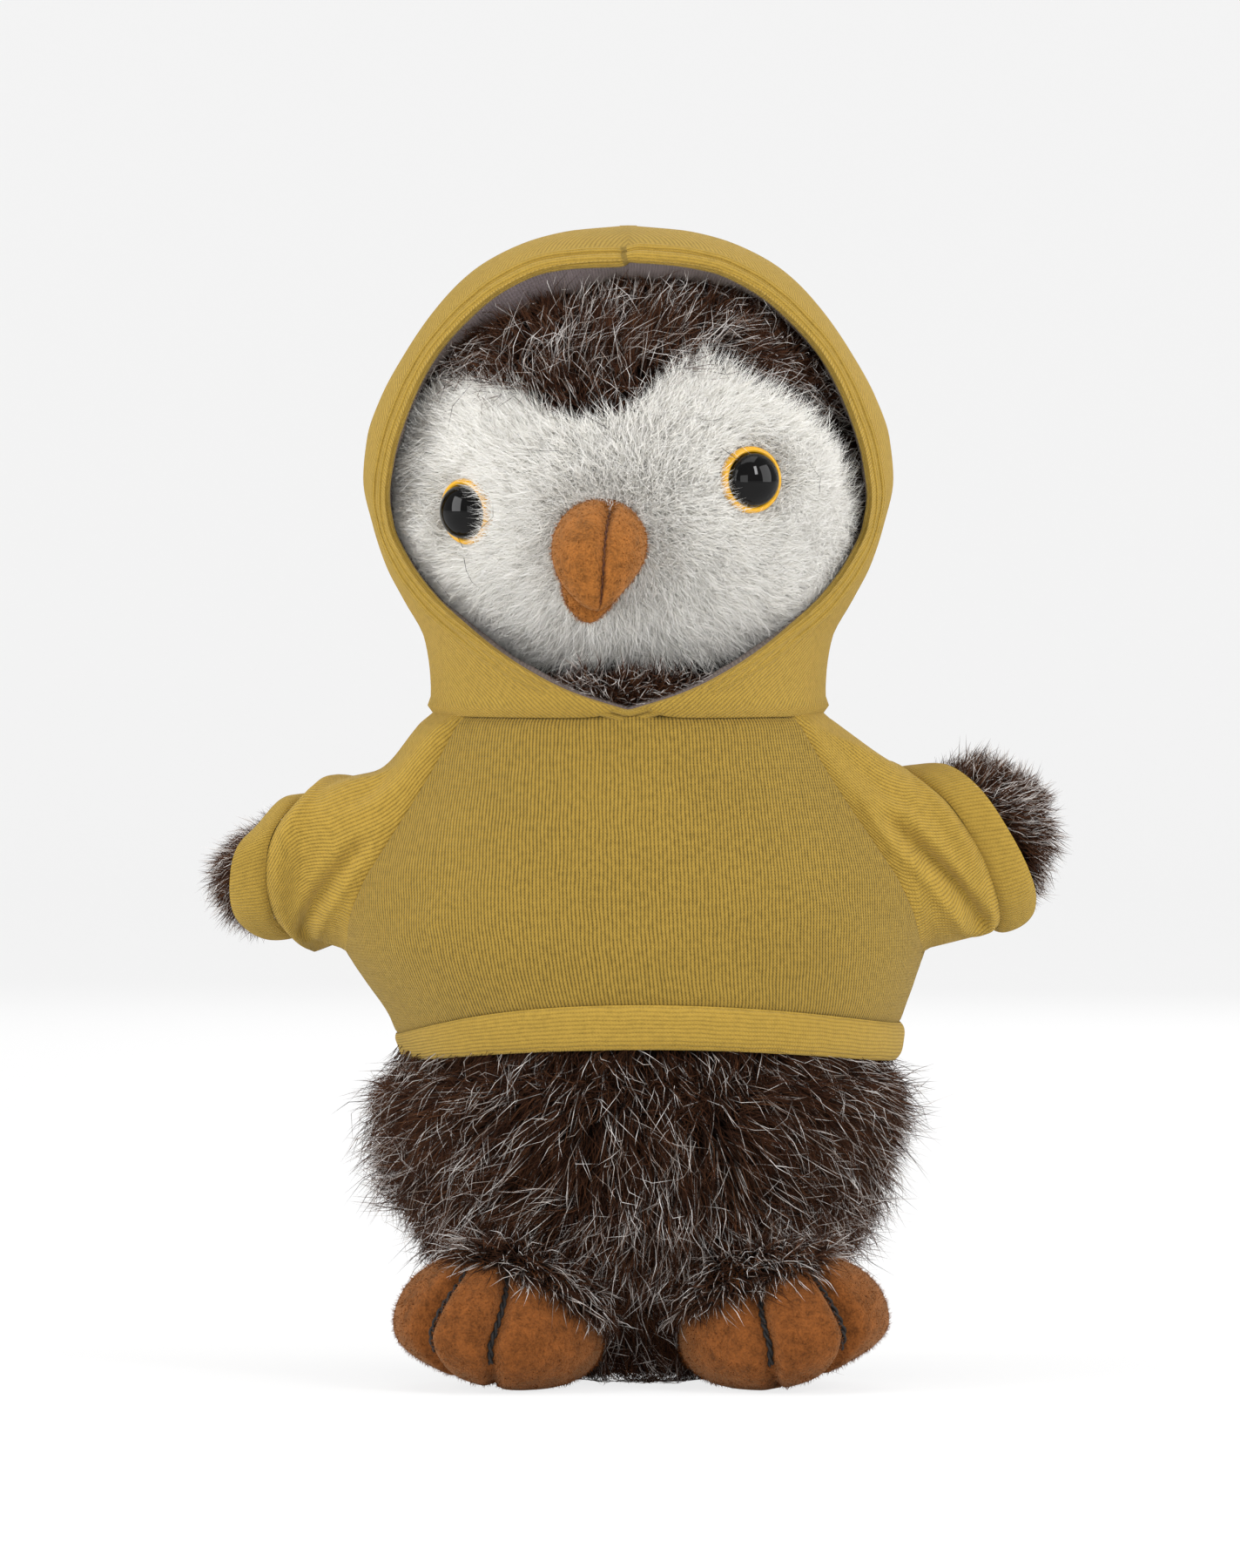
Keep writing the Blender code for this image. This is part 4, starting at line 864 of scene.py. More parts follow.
def grain_material(name, dark, light, roughness, specular, scale):
    """A plain material with a fine grain in two near tones."""
    tree, shader = new_material(name, roughness, specular)
    grain = noise(tree, put(tree, "ShaderNodeTexCoord").outputs["Object"], scale)
    tree.links.new(ramp(tree, grain, ((0.35, dark), (0.65, light))), shader.inputs["Base Color"])


# Finishes

MUSTARD = (156, 127, 53)
RUST = (112, 64, 27)
BEAK_RUST = (136, 84, 36)
RING_YELLOW = (212, 159, 35)
LINING_GREY = (112, 101, 104)
KNITS = (
    # name, share of the jersey's brightness (above one is painted light on a lighter copy of the same yarn), how dark
    # its grooves are and how much of it they take (painted shade in the grooves)
    ("mustard_knit", 1.0, 0.250, 1.0), ("mustard_knit_painted_lit", 1.237, 0.390, 0.65), ("mustard_rib_painted_lit", 1.135, 0.460, 0.42),
)
PILES = (
    # name, root, root of other fibres, tips by tone, where the tip's colour sets in along a fibre, roughness
    ("brown_pile", (14, 7, 4), (32, 17, 9),
     ((0.0, (36, 19, 10)), (0.3, (66, 37, 20)), (0.5, (92, 60, 38)), (0.62, (150, 136, 126)), (1.0, (238, 234, 231))),
     (0.15, 0.75), 0.7),
    # the white fibres' roots, a little greyer than their tips, are painted shade deep in the pile
    ("white_pile_fibre", (226, 222, 212), (233, 230, 221),
     ((0.0, (238, 236, 229)), (0.7, (245, 243, 239)), (1.0, (250, 249, 246))), (0.0, 0.8), 0.7),
    ("rust_nap_fibre", (98, 54, 22), (112, 64, 28), ((0.0, (116, 66, 28)), (1.0, (156, 98, 50))), (0.2, 0.9), 0.85),
    ("beak_nap_fibre", (120, 70, 28), (136, 84, 36), ((0.0, (140, 86, 38)), (1.0, (180, 122, 66))), (0.2, 0.9), 0.85),
)
GRAINS = (
    # name, dark, light, roughness, specular, grain per metre
    ("brown_backing", (28, 15, 9), (40, 23, 14), 0.95, 0.2, 700.0),
    ("white_backing", (224, 221, 211), (234, 232, 224), 0.95, 0.2, 700.0),
    ("black_plastic_gloss", (3, 3, 3), (7, 6, 6), 0.03, 0.22, 200.0),
    ("white_plastic_plain", (220, 220, 216), (232, 232, 228), 0.5, 0.5, 300.0),
    ("black_thread_ply", (9, 8, 8), (26, 23, 22), 0.75, 0.5, 2400.0),
    # the beak's seam thread: a real seam, darkened as painted shade in its crease
    ("beak_seam_thread", (66, 34, 16), (100, 56, 26), 0.85, 0.5, 2400.0),
)


def finishes():
    """Every material of the owl, made once."""
    if "mustard_rib_painted_lit" in bpy.data.materials:
        return bpy.data.materials
    settings = bpy.context.scene.owl_settings
    for name, share, groove_shade, groove_shade_share in KNITS:
        # a share above one makes a lighter copy of the same jersey: painted light
        knit_material(name, shaded(settings.jersey, share), groove_shade, groove_shade_share)
    knit_material("grey_lining", tint(*LINING_GREY), 0.370, 0.3)
    for name, root, under, tones, reach, roughness in PILES:
        tips = [(at, tint(*colour)) for at, colour in tones]
        pile_material(name, tint(*root), tint(*under), tips, reach, roughness)
    velour_material("rust_velour_nap", tuple(settings.velour))
    velour_material("beak_velour_nap", tuple(settings.beak_velour))
    for name, dark, light, *rest in GRAINS:
        grain_material(name, tint(*dark), tint(*light), *rest)
    ring = settings.eye_ring
    grain_material("yellow_plastic_gloss", shaded(ring, 0.92), shaded(ring, 1.12), 0.24, 0.5, 300.0)
    return bpy.data.materials


def give_finish(obj, *names):
    obj.data.materials.clear()
    for name in names:
        obj.data.materials.append(finishes()[name])


def tie(obj, body, replaces=()):
    """Gives a piece its body, or bakes it in place when it lies between two, and hides the solids that it stands for.
    """
    if isinstance(body, str):
        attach(obj, body)
    else:
        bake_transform(obj)
    if replaces:
        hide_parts(*replaces)


def dress(obj, material, body, replaces=()):
    """Gives a piece its one finish and its ties."""
    give_finish(obj, material)
    tie(obj, body, replaces)
    return obj


# Pile: closed three-sided fibres grown on the stuffed forms

Layer = namedtuple("Layer", "name count length lift width segments pale")


def waves(points, size, rng):
    """A smooth random direction at every point, that changes over a size."""
    field = np.zeros((len(points), 3))
    for _ in range(WAVES_ADDED):
        frequency = rng.normal(size=(3, 3)) * 2 * math.pi / size / 1.7
        phase = rng.random(3) * 2 * math.pi
        field += np.sin(points @ frequency + phase)
    return field / math.sqrt(WAVES_ADDED)


def ruffled(comb, points, rng, *pairs):
    """A comb with waves of (size, share) pairs added."""
    for size, share in pairs:
        comb = comb + waves(points, size, rng) * share
    return comb


def roots_on(obj, count, keep, rng):
    """Points and normals spread evenly over the part of a form that keep takes."""
    mesh = obj.data
    mesh.calc_loop_triangles()
    corners = fetch(mesh.loop_triangles, "vertices", 3, np.int32)
    points = read_points(mesh)
    normals = fetch(mesh.vertices, "normal", 3).astype(float)
    a, b, c = (points[corners[:, k]] for k in range(3))
    areas = np.linalg.norm(np.cross(b - a, c - a), axis=1)
    found_points, found_normals = [], []
    found = 0
    while found < count:
        picked = rng.choice(len(corners), count, p=areas / areas.sum())
        s, t = rng.random((2, count))
        over = s + t > 1
        s[over], t[over] = 1 - s[over], 1 - t[over]
        weights = np.stack((1 - s - t, s, t), 1)[:, :, None]
        place = np.sum(points[corners[picked]] * weights, 1)
        facing = unit(np.sum(normals[corners[picked]] * weights, 1))
        kept = keep(place)
        found_points.append(place[kept])
        found_normals.append(facing[kept])
        found += int(kept.sum())
    return np.concatenate(found_points)[:count], np.concatenate(found_normals)[:count]


def grow(
    roots, normals, comb, rng, length, lift, stray, segments, clump=0.0030, pull=0.45, sag=0.0, sink=0.0004,
    forward=0.0,
):
    """The fibres' middle lines, root to tip, gathered into tufts."""
    count = len(roots)
    comb = unit(comb - normals * np.sum(comb * normals, 1)[:, None])
    wander = rng.normal(size=(count, 3)) * stray
    curl = rng.normal(size=(count, 3)) * stray * 1.6
    lengths = rng.uniform(*length, size=count)
    lines = np.empty((count, segments + 1, 3))
    lines[:, 0] = roots - normals * sink
    for k in range(segments):
        share = (k + 0.5) / segments
        rise = lift[0] + (lift[1] - lift[0]) * share
        direction = normals * rise + comb * (1 - rise) + wander * (0.5 + share) + curl * (share - 0.5)
        direction[:, 2] -= sag * share
        direction[:, 1] -= forward
        lines[:, k + 1] = lines[:, k] + unit(direction) * (lengths / segments)[:, None]
    if not pull:
        return lines
    cells = np.floor(roots / clump + rng.random(3)).astype(np.int64)
    _, first = np.unique(cells, axis=0, return_index=True)
    tree = kdtree.KDTree(len(first))
    for i, index in enumerate(first):
        tree.insert(roots[index], i)
    tree.balance()
    leader = first[[tree.find(p)[1] for p in roots]]
    drawn = rng.uniform(0.4, 1.0, size=count) * pull
    for k in range(1, segments + 1):
        share = (k / segments) ** 1.3
        target = lines[leader, k] + (roots - roots[leader]) * 0.3
        lines[:, k] += (target - lines[:, k]) * (drawn * share)[:, None]
    return lines


def stretched(lines, share):
    """Fibres made longer or shorter from their roots."""
    return lines[:, :1] + (lines - lines[:, :1]) * share[:, None, None]


def moved(lines, change, *settings):
    """Fibres with every point put where a function wants it."""
    return change(lines.reshape(-1, 3).copy(), *settings).reshape(lines.shape)


def fibre_pattern(levels):
    """Corners, where faces start, and (across, along) places of one fibre's closed skin."""
    loops, maps, starts = [], [], []
    for k in range(levels):
        low, high = k / levels, (k + 1) / levels
        for j in range(3):
            n = (j + 1) % 3
            left, right = j / 3, (j + 1) / 3
            starts.append(len(loops))
            loops += [k * 3 + j, k * 3 + n]
            maps += [(left, low), (right, low)]
            if k < levels - 1:
                loops += [k * 3 + 3 + n, k * 3 + 3 + j]
                maps += [(right, high), (left, high)]
            else:
                loops.append(levels * 3)
                maps.append(((left + right) / 2, high))
    starts.append(len(loops))
    return np.array(loops + [2, 1, 0]), np.array(starts), np.array(maps + [(1.0, 0.0), (0.5, 0.04), (0.0, 0.0)])


def fibres(name, lines, widths, tones, rng, body, material):
    """One mesh of closed, tapered, three-sided fibres along their middle lines."""
    count, levels = len(lines), lines.shape[1] - 1
    facing = unit(rng.normal(size=(count, 3)))
    along = unit(np.diff(lines, axis=1))
    vertices = np.empty((count, levels * 3 + 1, 3))
    for k in range(levels):
        side = unit(np.cross(along[:, k], facing))
        up = np.cross(along[:, k], side)
        radius = widths / 2 * (1 - 0.55 * (k / levels) ** 1.5)
        for j in range(3):
            angle = 2 * math.pi * j / 3
            offset = side * math.cos(angle) + up * math.sin(angle)
            vertices[:, k * 3 + j] = lines[:, k] + offset * radius[:, None]
    vertices[:, -1] = lines[:, -1]
    loops, starts, maps = fibre_pattern(levels)
    step = np.arange(count)[:, None]
    all_loops = (loops[None] + step * vertices.shape[1]).ravel()
    all_starts = (starts[None] + step * len(loops)).ravel()
    column = np.floor(np.clip(tones, 0, 0.9999) * BAKE_COLUMNS)
    across = (column[:, None] + 0.15 + 0.7 * maps[None, :, 0]) / BAKE_COLUMNS
    upward = np.broadcast_to(0.01 + 0.98 * maps[None, :, 1], across.shape)
    mesh = bpy.data.meshes.new(name)
    mesh.vertices.add(vertices.size // 3)
    mesh.vertices.foreach_set("co", vertices.astype(np.float32).ravel())
    mesh.loops.add(len(all_loops))
    mesh.loops.foreach_set("vertex_index", all_loops.astype(np.int32))
    mesh.polygons.add(len(all_starts))
    mesh.polygons.foreach_set("loop_start", all_starts.astype(np.int32))
    mesh.update(calc_edges=True)
    layer = mesh.uv_layers.new(name="OFBake")
    layer.data.foreach_set("uv", np.stack((across, upward), -1).astype(np.float32).ravel())
    mesh.shade_smooth()
    dress(place_in_scene(name, mesh), material, body)


def plant(name, lines, width, tones, rng, body, material="brown_pile", split=False):
    """Meshes of fibres of random widths; a layer to be split is shared out at random, under the limit of faces."""
    count = len(lines)
    widths = rng.uniform(*width, count)
    if not split:
        fibres(name, lines, widths, tones, rng, body, material)
        return
    faces = count * ((lines.shape[1] - 1) * 6 - 2)
    for i, chosen in enumerate(np.array_split(rng.permutation(count), -(-faces // MOST_FACES))):
        fibres(f"{name}_{i + 1}", lines[chosen], widths[chosen], tones[chosen], rng, body, material)


def fur_tones(count, rng, pale):
    """Mostly brown underfur with a share of pale guard hairs."""
    brown = rng.uniform(0.0, 0.5, size=count)
    guard = rng.uniform(0.6, 1.0, size=count)
    return np.where(rng.random(count) < pale, guard, brown)


def over_floor(lines, height=0.0004):
    lines[..., 2] = np.maximum(lines[..., 2], height)
    return lines


# Stuffed forms under the pile

def egg(name, segments, rings, place):
    """A primitive sphere whose points a formula of angle and height share lays."""
    deselect()
    bpy.ops.mesh.primitive_uv_sphere_add(segments=segments, ring_count=rings, radius=1.0)
    obj = bpy.context.object
    obj.name = name
    obj.data.name = name
    points = read_points(obj.data)
    around = np.arctan2(points[:, 1], points[:, 0])
    rise = np.arcsin(np.clip(points[:, 2], -1, 1)) / math.pi + 0.5
    write_points(obj.data, place(around, rise))
    close_up(obj)
    smooth(obj)
    return obj


def head_egg(name, segments, rings, pile):
    """The head's form, less a depth of pile."""
    radii = np.array(HEAD_RADII) - pile

    def place(around, rise):
        lift = (rise - 0.5) * math.pi
        return from_head(stack(np.cos(lift) * np.cos(around), np.cos(lift) * np.sin(around), np.sin(lift)) * radii)

    return egg(name, segments, rings, place)


def body_form(around, rise):
    """The stuffed body: flat under it, then up its sides to the neck."""
    sole, neck = BODY_SOLE_SHARE, BODY_NECK_SHARE
    side = np.clip((rise - sole) / (neck - sole), 0, 1)
    height = BODY_LIFT + (NECK_HEIGHT - BODY_NECK_ROOM - BODY_LIFT) * side
    inset = BODY_PILE + (CHEST_PILE - BODY_PILE) * ease((height - HEM_HEIGHT) / 0.004)
    centre, half_width, half_depth = body_section(height, inset)
    closing = np.minimum(rise / sole, 1.0) * np.minimum((1 - rise) / (1 - neck), 1.0)
    return stack(centre + half_width * closing * np.cos(around), half_depth * closing * np.sin(around), height)


def wing_form(wing, around, rise):
    """A stuffed wing, from its root's rounding to its tip."""
    start, end = WING_ROOT_ROOM - WING_ROOT_RADIUS, WING_LENGTH - WING_PILE
    distance = start + (end - start) * (1 - np.cos(rise * math.pi)) / 2
    share = (distance - start) / (end - start)
    depth = WING_PILE * ease(share * 3) * (1 - 0.25 * ease(share))
    closed = np.where((rise <= 0.001) | (rise >= 0.999), 0.0, 1.0)
    reach = distance * WING_LENGTH / end
    offset = wing.point(reach, around) - (wing.pivot + reach[:, None] * wing.out)
    size = np.maximum(np.linalg.norm(offset, axis=1), 1e-6)
    offset = offset * (closed * np.maximum(size - depth, 0) / size)[:, None]
    return wing.pivot + distance[:, None] * wing.out + offset


def make_forms():
    """Body, head and wings as stuffed cloth, a pile's depth under their outlines."""
    forms = [(egg("body_backing", 64, 56, body_form), "torso", "body", 0.75)]
    head = head_egg("head_backing", 64, 40, HEAD_PILE)
    points = read_points(head.data)
    points[:, 2] = np.maximum(points[:, 2], NECK_HEIGHT + HEAD_SEAT_ROOM)
    write_points(head.data, points)
    forms.append((head, "head", "head", 0.8))
    for side, name in SIDES:
        form = egg("wing_backing_" + name, 32, 28, functools.partial(wing_form, WingFrame(side)))
        forms.append((form, "wing_" + name, "wing_" + name, 0.7))
    for form, body, node, fill in forms:
        dress(form, "brown_backing", body, (node,))


def make_face_backing():
    """White cloth under the face, which is a heart cut out of the head's front, and the form its pile grows on."""
    obj = place_in_scene("face_backing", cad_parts["face_mask"].data.copy())
    close_up(obj)
    points = to_head(read_points(obj.data))
    reach = np.linalg.norm(points / np.array(HEAD_RADII), axis=1)
    depth = FACE_PILE + np.where(in_face(points), 0.0, FACE_BACKING_SINK)
    write_points(obj.data, from_head(points * (1 - depth / np.mean(HEAD_RADII) * reach ** 2)[:, None]))
    smooth(obj)
    dress(obj, "white_backing", "head", ("face_mask",))
    head_egg("face_core", 96, 64, FACE_PILE)


# Fur

def out_of_feet(points):
    """Lays points that a foot holds on its surface."""
    room = FUR_ROOM
    middle = np.array((0.0, 0.0, FOOT_MIDDLE_HEIGHT))
    for side, _ in SIDES:
        place = foot_place(side)
        turn, origin = np.array(place.to_3x3()), np.array(place.translation)
        local = (points - origin) @ turn
        offset = local - middle
        forward = np.where(local[:, 1] < 0, FOOT_FRONT, FOOT_REAR) + room
        high = np.where(local[:, 2] > FOOT_MIDDLE_HEIGHT, FOOT_HEIGHT - FOOT_MIDDLE_HEIGHT, 0.05) + room
        share = np.sqrt(
            (offset[:, 0] / (FOOT_WIDTH / 2 + room)) ** 2 + (offset[:, 1] / forward) ** 2 + (offset[:, 2] / high) ** 2
        )
        points = (middle + offset / np.clip(share, 1e-3, 1.0)[:, None]) @ turn.T + origin
    return points


def drawn_in(points, centre, half_width, half_depth, where=True):
    """Points with those that lie outside an oval at their height put on it."""
    share = np.hypot((points[:, 0] - centre) / half_width, points[:, 1] / half_depth)
    pull = np.where((share > 1) & where, 1 / np.maximum(share, 1.0), 1.0)
    points[:, 0] = centre + (points[:, 0] - centre) * pull
    points[:, 1] *= pull
    return points


def under_hem(points):
    """Keeps points inside the hem and the top, above the hem's edge."""
    section = top_section(np.maximum(points[:, 2], HEM_HEIGHT), CLOTH + HEM_FUR_ROOM)
    centre, half_width, half_depth = section
    share = np.hypot((points[:, 0] - centre) / half_width, points[:, 1] / half_depth)
    front = np.maximum(-points[:, 1] / half_depth / np.maximum(share, 1e-6), 0.0)
    return drawn_in(points, *section, points[:, 2] > HEM_HEIGHT + HEM_ARCH * front ** 2 - FIT_GAP)


def in_hood(points, room=FUR_ROOM):
    """Keeps points inside the hood's lining."""
    inset = HOOD_CLOTH + room
    centre, *halves = hood_section(np.clip(points[:, 2], NECK_HEIGHT + 0.001, HOOD_TOP - 0.001), inset)
    points = drawn_in(points, centre, *[np.maximum(half, 0.002) for half in halves])
    points[:, 2] = np.clip(points[:, 2], NECK_HEIGHT + 0.0015, HOOD_TOP - inset - 0.001)
    return points


def fan_comb(roots, rng):
    """Which way the body's pile lies: down the middle, and outwards down the sides."""
    fan = stack(roots[:, 0] / 0.030, 0.0, -1.0)
    outward = unit(stack(roots[:, 0], roots[:, 1], 0.0))
    low = 1 - ease((roots[:, 2] - 0.004) / 0.010)
    return ruffled(fan, roots, rng, (0.018, 0.55), (0.006, 0.40)) + outward * (low * 1.2)[:, None]


def make_body_fur(settings):
    """Brown pile on the body below the hem: dense underfur and longer, paler guard hairs."""
    rng = np.random.default_rng(11)
    core = bpy.data.objects["body_backing"]
    under, guard = settings.underfur_length, settings.guard_length

    def below_hem(points):
        return (points[:, 2] < HEM_HEIGHT + 0.0055) & (points[:, 2] > 0.0016)

    def above_feet(points):
        return (np.abs(points[:, 2] - 0.029) < 0.007) & (points[:, 1] < -0.014)

    for layer, stray, forward, held in (
        (Layer("under", settings.body_underfur, (under * 0.59, under), (0.62, 0.34), (0.00026, 0.00040), 1, 0.02),
         0.30, 0.0, below_hem),
        (Layer("guard", settings.body_guard_hairs, (guard * 0.56, guard), (0.54, 0.20), (0.00012, 0.00019), 3, 0.31),
         0.38, 0.0, below_hem),
        (Layer("fringe", settings.body_guard_hairs // 9, (0.0110, 0.0170), (0.45, 0.05), (0.00014, 0.00022), 3, 0.28),
         0.30, 0.6, above_feet),
    ):
        roots, normals = roots_on(core, layer.count, held, rng)
        lines = grow(
            roots, normals, fan_comb(roots, rng), rng, layer.length, layer.lift, stray, layer.segments,
            clump=0.0034, sag=0.10, forward=forward,
        )
        lines = stretched(lines, 1 - 0.30 * ease((roots[:, 2] - HEM_HEIGHT + 0.010) / 0.012))
        lines = over_floor(moved(moved(lines, under_hem), out_of_feet))
        tones = fur_tones(layer.count, rng, layer.pale)
        plant("body_" + layer.name, lines, layer.width, tones, rng, "torso", split=True)


FUR_LINES = {
    # where the belly's pile ends on a foot, as (x, z)
    LEFT: ((-0.0450, 0.0262), (-0.0378, 0.0236), (-0.0300, 0.0216), (-0.0215, 0.0192), (-0.0140, 0.0155),
           (-0.0081, 0.0115), (-0.0040, 0.0080)),
    RIGHT: ((0.0030, 0.0080), (0.0063, 0.0112), (0.0120, 0.0143), (0.0167, 0.0162), (0.0226, 0.0184),
            (0.0311, 0.0218), (0.0358, 0.0242), (0.0420, 0.0262)),
}


def make_foot_drape(settings):
    """The belly's pile where it lies over the tops of the feet."""
    rng = np.random.default_rng(83)
    count = settings.foot_drape
    layers = (
        Layer("under", count * 2, (0.0050, 0.0080), (0.55, 0.15), (0.00026, 0.00040), 1, 0.02),
        Layer("guard", count, (0.0070, 0.0125), (0.42, 0.05), (0.00013, 0.00020), 3, 0.48),
    )
    for (side, name), layer in itertools.product(SIDES, layers):

        def above_line(points, side=side):
            return (points[:, 2] > through(FUR_LINES[side], points[:, 0]) + 0.0008) & (points[:, 1] < FOOT_TOP_REAR)

        roots, normals = roots_on(bpy.data.objects["foot_velour_" + name], layer.count, above_line, rng)
        fan = stack((roots[:, 0] - NECK_LEAN) / 0.075, -0.75, -0.9)
        comb = ruffled(fan, roots, rng, (0.012, 0.40), (0.005, 0.35))
        lines = grow(roots, normals, comb, rng, layer.length, layer.lift, 0.32, layer.segments, pull=0.4, sag=0.25)
        room = roots[:, 2] - through(FUR_LINES[side], roots[:, 0]) + rng.uniform(0.0008, 0.0040, layer.count)
        reach = np.linalg.norm(lines[:, -1] - lines[:, 0], axis=1)
        drop = np.maximum(lines[:, 0, 2] - lines[:, -1, 2], reach * 0.35)
        lines = stretched(lines, np.clip(room / drop, 0.25, 1.0))
        lines = over_floor(moved(lines, out_of_feet))
        tones = fur_tones(layer.count, rng, layer.pale)
        plant(f"foot_drape_{layer.name}_{name}", lines, layer.width, tones, rng, "torso")


def make_crown_fur(settings):
    """Brown pile of the crown and the chin, as far as the face opening shows it."""
    rng = np.random.default_rng(23)
    heart = pile_outline()
    opening = hood_opening(96)[:, [0, 2]]
    wide = opening.mean(0) + (opening - opening.mean(0)) * 1.10

    def shown(points):
        local = to_head(points)
        front = (points[:, 1] < 0.010) & inside_outline(points, wide)
        return front & ~(inside_outline(local, heart) & (local[:, 1] < 0))

    count = settings.crown_fibres
    for layer in (
        Layer("under", count * 2, (0.0055, 0.0090), (0.75, 0.5), (0.00024, 0.00034), 1, 0.02),
        Layer("guard", count, (0.0070, 0.0125), (0.60, 0.30), (0.00012, 0.00018), 3, 0.52),
    ):
        roots, normals = roots_on(bpy.data.objects["head_backing"], layer.count, shown, rng)
        local = to_head(roots)
        from_beak = from_head(stack(local[:, 0], 0.0, local[:, 2] - 0.004)) - np.array(HEAD_CENTRE)
        comb = ruffled(unit(from_beak), roots, rng, (0.011, 0.8)) + np.array((0.0, -0.5, 0.0))
        chin = local[:, 2] < -0.018
        comb[chin] = waves(roots[chin], 0.010, rng) * 0.6 + np.array((0.0, -1.0, -0.10))
        lines = grow(roots, normals, comb, rng, layer.length, layer.lift, 0.34, layer.segments)
        upper = np.clip((local[:, 2] - 0.012) / 0.012, 0, 1) * (0.42 + 0.26 * ease(-local[:, 0] / 0.012))
        lines = moved(stretched(lines, 1 + upper), in_hood)
        tones = fur_tones(layer.count, rng, layer.pale)
        plant("crown_" + layer.name, lines, layer.width, tones, rng, "head")


def make_throat_fur(settings):
    """Brown pile that fills the foot of the face opening, down to the neck seam."""
    rng = np.random.default_rng(29)
    lift = (0.75, 0.35)
    for layer in (
        Layer("under", settings.throat_fibres * 2, (0.0045, 0.0070), lift, (0.00024, 0.00034), 1, 0.02),
        Layer("guard", settings.throat_fibres, (0.0060, 0.0095), lift, (0.00012, 0.00018), 3, 0.42),
    ):
        height = NECK_HEIGHT + rng.uniform(0.0002, 0.0066, layer.count)
        angle = -math.pi / 2 + rng.uniform(-0.72, 0.72, layer.count)
        roots = hood_point(angle, height, 0.0050 + 0.25 * (height - NECK_HEIGHT))
        normals = unit(stack(np.cos(angle) * 0.6, np.sin(angle), 0.05))
        comb = waves(roots, 0.009, rng) * 0.8 + rng.normal(size=(layer.count, 3)) * 0.4 + np.array((0.0, -0.2, -0.3))
        lines = grow(
            roots, normals, comb, rng, layer.length, layer.lift, 0.35, layer.segments,
            clump=0.0028, pull=0.4, sag=0.05,
        )
        tones = fur_tones(layer.count, rng, layer.pale)
        plant("throat_" + layer.name, moved(lines, in_hood, 0.0001), layer.width, tones, rng, NECK_BEND)


def make_wing_fur(settings):
    """Brown pile on the wing tips, past the cuffs."""
    rng = np.random.default_rng(37)
    count = settings.wing_fibres
    layers = (
        Layer("under", count, (0.0045, 0.0075), (0.70, 0.45), (0.00024, 0.00034), 1, 0.02),
        Layer("guard", count, (0.0060, 0.0095), (0.55, 0.30), (0.00012, 0.00018), 3, 0.46),
    )
    for (side, name), layer in itertools.product(SIDES, layers):
        wing = WingFrame(side)

        def past(points, wing=wing):
            return wing.past_cuff(points) > -0.003

        roots, normals = roots_on(bpy.data.objects["wing_backing_" + name], count, past, rng)
        high = ease((roots[:, 2] - wing.pivot[2]) / 0.010)[:, None] * (side > 0)
        comb = ruffled(wing.out * 0.7, roots, rng, (0.010, 0.55)) + np.array((0.0, 0.0, 1.0)) * (1.1 * high - 0.6)
        lines = grow(
            roots, normals, comb, rng, layer.length, layer.lift, 0.30, layer.segments, clump=0.0028, sag=0.10,
        )
        lines = moved(lines, wing.in_cuff)
        tones = fur_tones(count, rng, layer.pale)
        plant(f"wing_{layer.name}_{name}", lines, layer.width, tones, rng, "wing_" + name)


